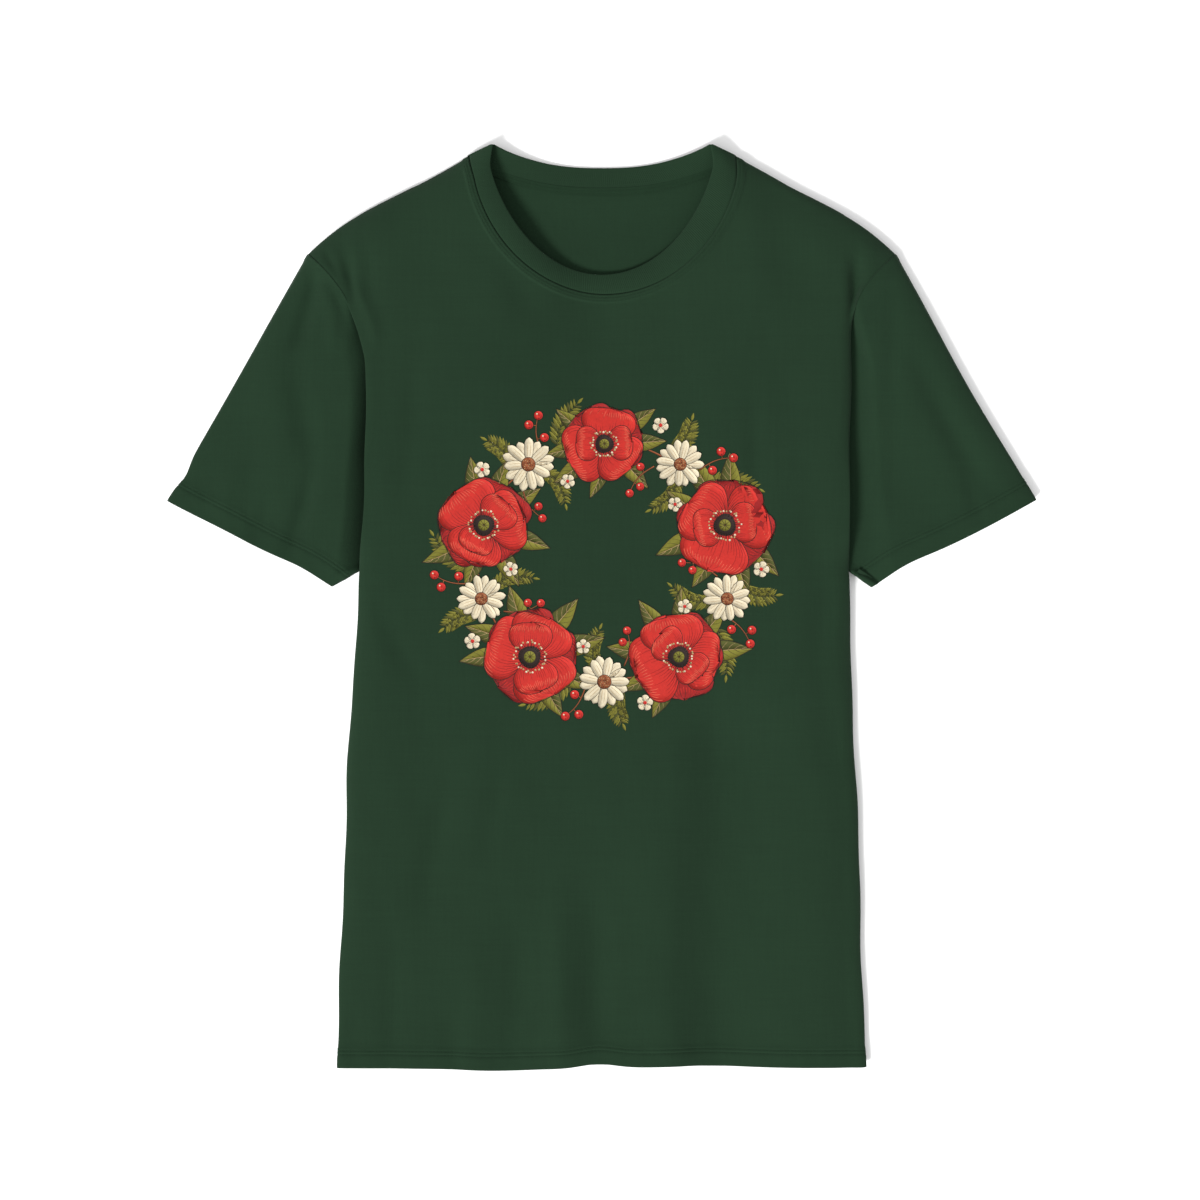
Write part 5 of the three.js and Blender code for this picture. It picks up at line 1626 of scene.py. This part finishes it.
def sleeve_stitches(grids):
    for sign, side in BOTH_SIDES:
        outer, normal, inner = grids[side]
        first = len(outer) - len(CUFF_ROWS)
        rows = [first + CUFF_ROWS.index(distance) for distance in CUFF_STITCHES]
        for row, level in zip(rows, ("lower", "upper")):
            closed, up = (np.concatenate([grid[row], grid[row, :1]]) for grid in (outer, normal))
            sewn(f"{side}_cuff_stitches_{level}", mirrored(*stitch_row(closed, up), sign),
                 f"{side}_cuff_topstitch_{level}")
        loops = looper(inner, normal, *rows, slice(SLEEVE_FRONT + 4, -4))
        sewn(f"{side}_cuff_looper", mirrored(*loops, sign), f"{side}_cuff_coverstitch")


def tape_place(across, offset, lift):
    size = np.abs(across)
    x, y = back_neck(size)
    slide_x, slide_y = neck_slide(back_neck, size)
    x, y = x + slide_x * offset, y + slide_y * offset
    z = back_height(x, y) + CLOTH + 0.15 + lift
    return np.stack([np.sign(across) * x, y, z], -1)


TAPE_OFFSETS = np.array([-0.5, -0.4, -0.2, 0.3, 0.9, 1.5, 2.1, 2.8, 3.6, 4.5, 4.9, 5.3, 5.5,
                         5.6])
TAPE_STITCHES = (1.5, 4.5)


def neck_tape():
    """The tape over the back neck seam, with a row of stitches along each edge."""
    across = np.linspace(-0.97, 0.97, 150)
    from_edge = np.minimum(TAPE_OFFSETS - TAPE_OFFSETS[0], TAPE_OFFSETS[-1] - TAPE_OFFSETS)
    bulge = 0.75 - 0.25 * stitched(TAPE_OFFSETS, TAPE_STITCHES, 0.5) - folded_edge(from_edge, 0.4)
    outer = np.stack([tape_place(across, o, b) for o, b in zip(TAPE_OFFSETS, bulge)][::-1])
    inner = np.stack([tape_place(across, o, 0) for o in TAPE_OFFSETS][::-1])
    tape = cloth("neck_tape_cloth", outer, inner, "tape", "neck_tape", "tape")
    up = np.broadcast_to(UP, (len(across), 3))
    stitches = [sewn(f"tape_stitches_{level}", stitch_row(tape_place(across, offset, 0.4), up),
                     f"neck_tape_stitch_{level}")
                for offset, level in zip(TAPE_STITCHES, ("upper", "lower"))]
    return tape, stitches


def overlocked(name, start, across, up, sign):
    """A seam allowance: two layers of cloth whose edge is wrapped by a looped thread."""
    across, up = (np.broadcast_to(unit(np.asarray(way)), start.shape) for way in (across, up))
    steps = np.array([0, 0.2, 0.6, 1.5, 3, 4.2, 4.8, OVERLOCK_WIDTH])
    sunk = folded_edge(np.minimum(steps, OVERLOCK_WIDTH - steps), 0.5)
    wavy = 0.12 * np.sin(np.arange(len(start)) * 0.9)
    outer, inner = (np.stack([start + across * step + up * (height + wavy[:, None])
                              for step, height in zip(steps, heights)])
                    for heights in (OVERLOCK_HEIGHT - sunk, sunk))
    if np.dot(np.cross(np.gradient(start, axis=0)[0], across[0]), up[0]) < 0:
        outer, inner = outer[:, ::-1], inner[:, ::-1]
        start, across, up = start[::-1], across[::-1], up[::-1]
    points, quads, _ = closed_sheet(outer, inner)
    lower = start + across * 1.2 + up * 1.2
    upper = start + across * (OVERLOCK_WIDTH + 0.1) + up * OVERLOCK_HEIGHT
    loops = zigzag(lower, upper, up[0], 1.7, 0.2)
    sewn(name, mirrored(*joined([(points, quads), loops]), sign), name.replace("seam", "overlock"))


def overlocks():
    """The seam allowances of the sides, armholes, shoulders and underarms, inside the shirt."""
    for sign, side in BOTH_SIDES:
        y = np.linspace(HEM_Y + 17, ARMPIT[1] - 40, 140)
        x = side_x(y, sign) - seam_inset(y) - 1.2
        seam = np.stack([x, y, seam_height(y, sign) + 0.6], -1)
        overlocked(f"{side}_side_seam", seam, (-1, 0, 0), UP, sign)
        y = np.linspace(52, 240, 80)
        x = side_x(y, sign)
        low = np.stack([x + 0.6, y, back_height(sign * x, y) + CLOTH + 0.3], -1)
        overlocked(f"{side}_armhole_seam_back", low, (1, 0, 0), UP, sign)
        high = np.stack([x + 1.0, y, seam_height(y, sign) - CLOTH - 0.4], -1)
        overlocked(f"{side}_armhole_seam_front", high, (1, 0, 0.25), (0.25, 0, -1), sign)
        x, y = shoulder_point(np.linspace(0.1, 0.88, 60))
        inwards = np.append(-SHOULDER_NORMAL, 0)
        seam = np.stack([x, y, np.full(60, SHOULDER_FOLD_HEIGHT + 0.3)], -1)
        overlocked(f"{side}_shoulder_seam", seam + inwards * 1.8, inwards, -UP, sign)
        run = CUFF_BOTTOM - ARMPIT
        x, y = (ARMPIT + run * np.linspace(0.3, 0.86, 14)[:, None]).T
        inwards = unit(np.array([-run[1], run[0], 0]))
        seam = np.stack([x, y, np.full(14, SLEEVE_FOLD_HEIGHT - 0.2)], -1)
        overlocked(f"{side}_underarm_seam", seam + inwards * 1.8, inwards, -UP, sign)


# ---------------------------------------------------------------- stage, light and camera

# The width in view and the point looked at are in millimetres, the floor's sizes in metres.
FRAME_WIDTH = 960.0
LENS = 85.0
SENSOR = 36.0
LOOK_AT = (-1.4, 4.4)
FLOOR_GREY = 0.86
FLOOR_REACH = 6.0
FLOOR_DROP = 0.0004
SUN_WAY = Vector((-0.64, -0.77, 0.76))
SUN_ENERGY = 5.2
SUN_SPREAD = math.radians(18)


def floor_and_light():
    graph = Graph("floor")
    mesh = bpy.data.meshes.new("floor")
    mesh.from_pydata([(x * FLOOR_REACH, y * FLOOR_REACH, 0)
                      for x, y in ((-1, -1), (1, -1), (1, 1), (-1, 1))], [], [(0, 1, 2, 3)])
    mesh.materials.append(graph.finish((FLOOR_GREY, FLOOR_GREY, FLOOR_GREY, 1), 0.95, 0.1))
    floor = added("floor", mesh)
    floor.location.z = -FLOOR_DROP
    world = bpy.data.worlds.new("studio")
    bpy.context.scene.world = world
    world.use_nodes = True
    world.node_tree.nodes["Background"].inputs[0].default_value = (1, 1, 1, 1)
    world.node_tree.nodes["Background"].inputs[1].default_value = 1.0
    light = bpy.data.lights.new("key", "SUN")
    light.energy = SUN_ENERGY
    light.angle = SUN_SPREAD
    lamp = added("key", light)
    lamp.location = SUN_WAY * 2
    lamp.rotation_euler = SUN_WAY.to_track_quat("Z", "Y").to_euler()


def camera():
    data = bpy.data.cameras.new("camera")
    data.lens, data.sensor_width = LENS, SENSOR
    data.clip_start, data.clip_end = 0.05, 50
    made = added("camera", data)
    height = FRAME_WIDTH * LENS / SENSOR + CHEST_HEIGHT / 2
    made.location = Vector((*LOOK_AT, height)) * METRES
    bpy.context.scene.camera = made


def main():
    bpy.context.scene.view_settings.view_transform = "Standard"
    make_materials()
    camera()
    floor_and_light()
    made, grids = build_panels()
    front_stitches(grids)
    hem_back_stitches(grids)
    sleeve_stitches(grids)
    tape, tape_stitches = neck_tape()
    overlocks()
    inks = wreath()
    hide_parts("chest_print")


main()
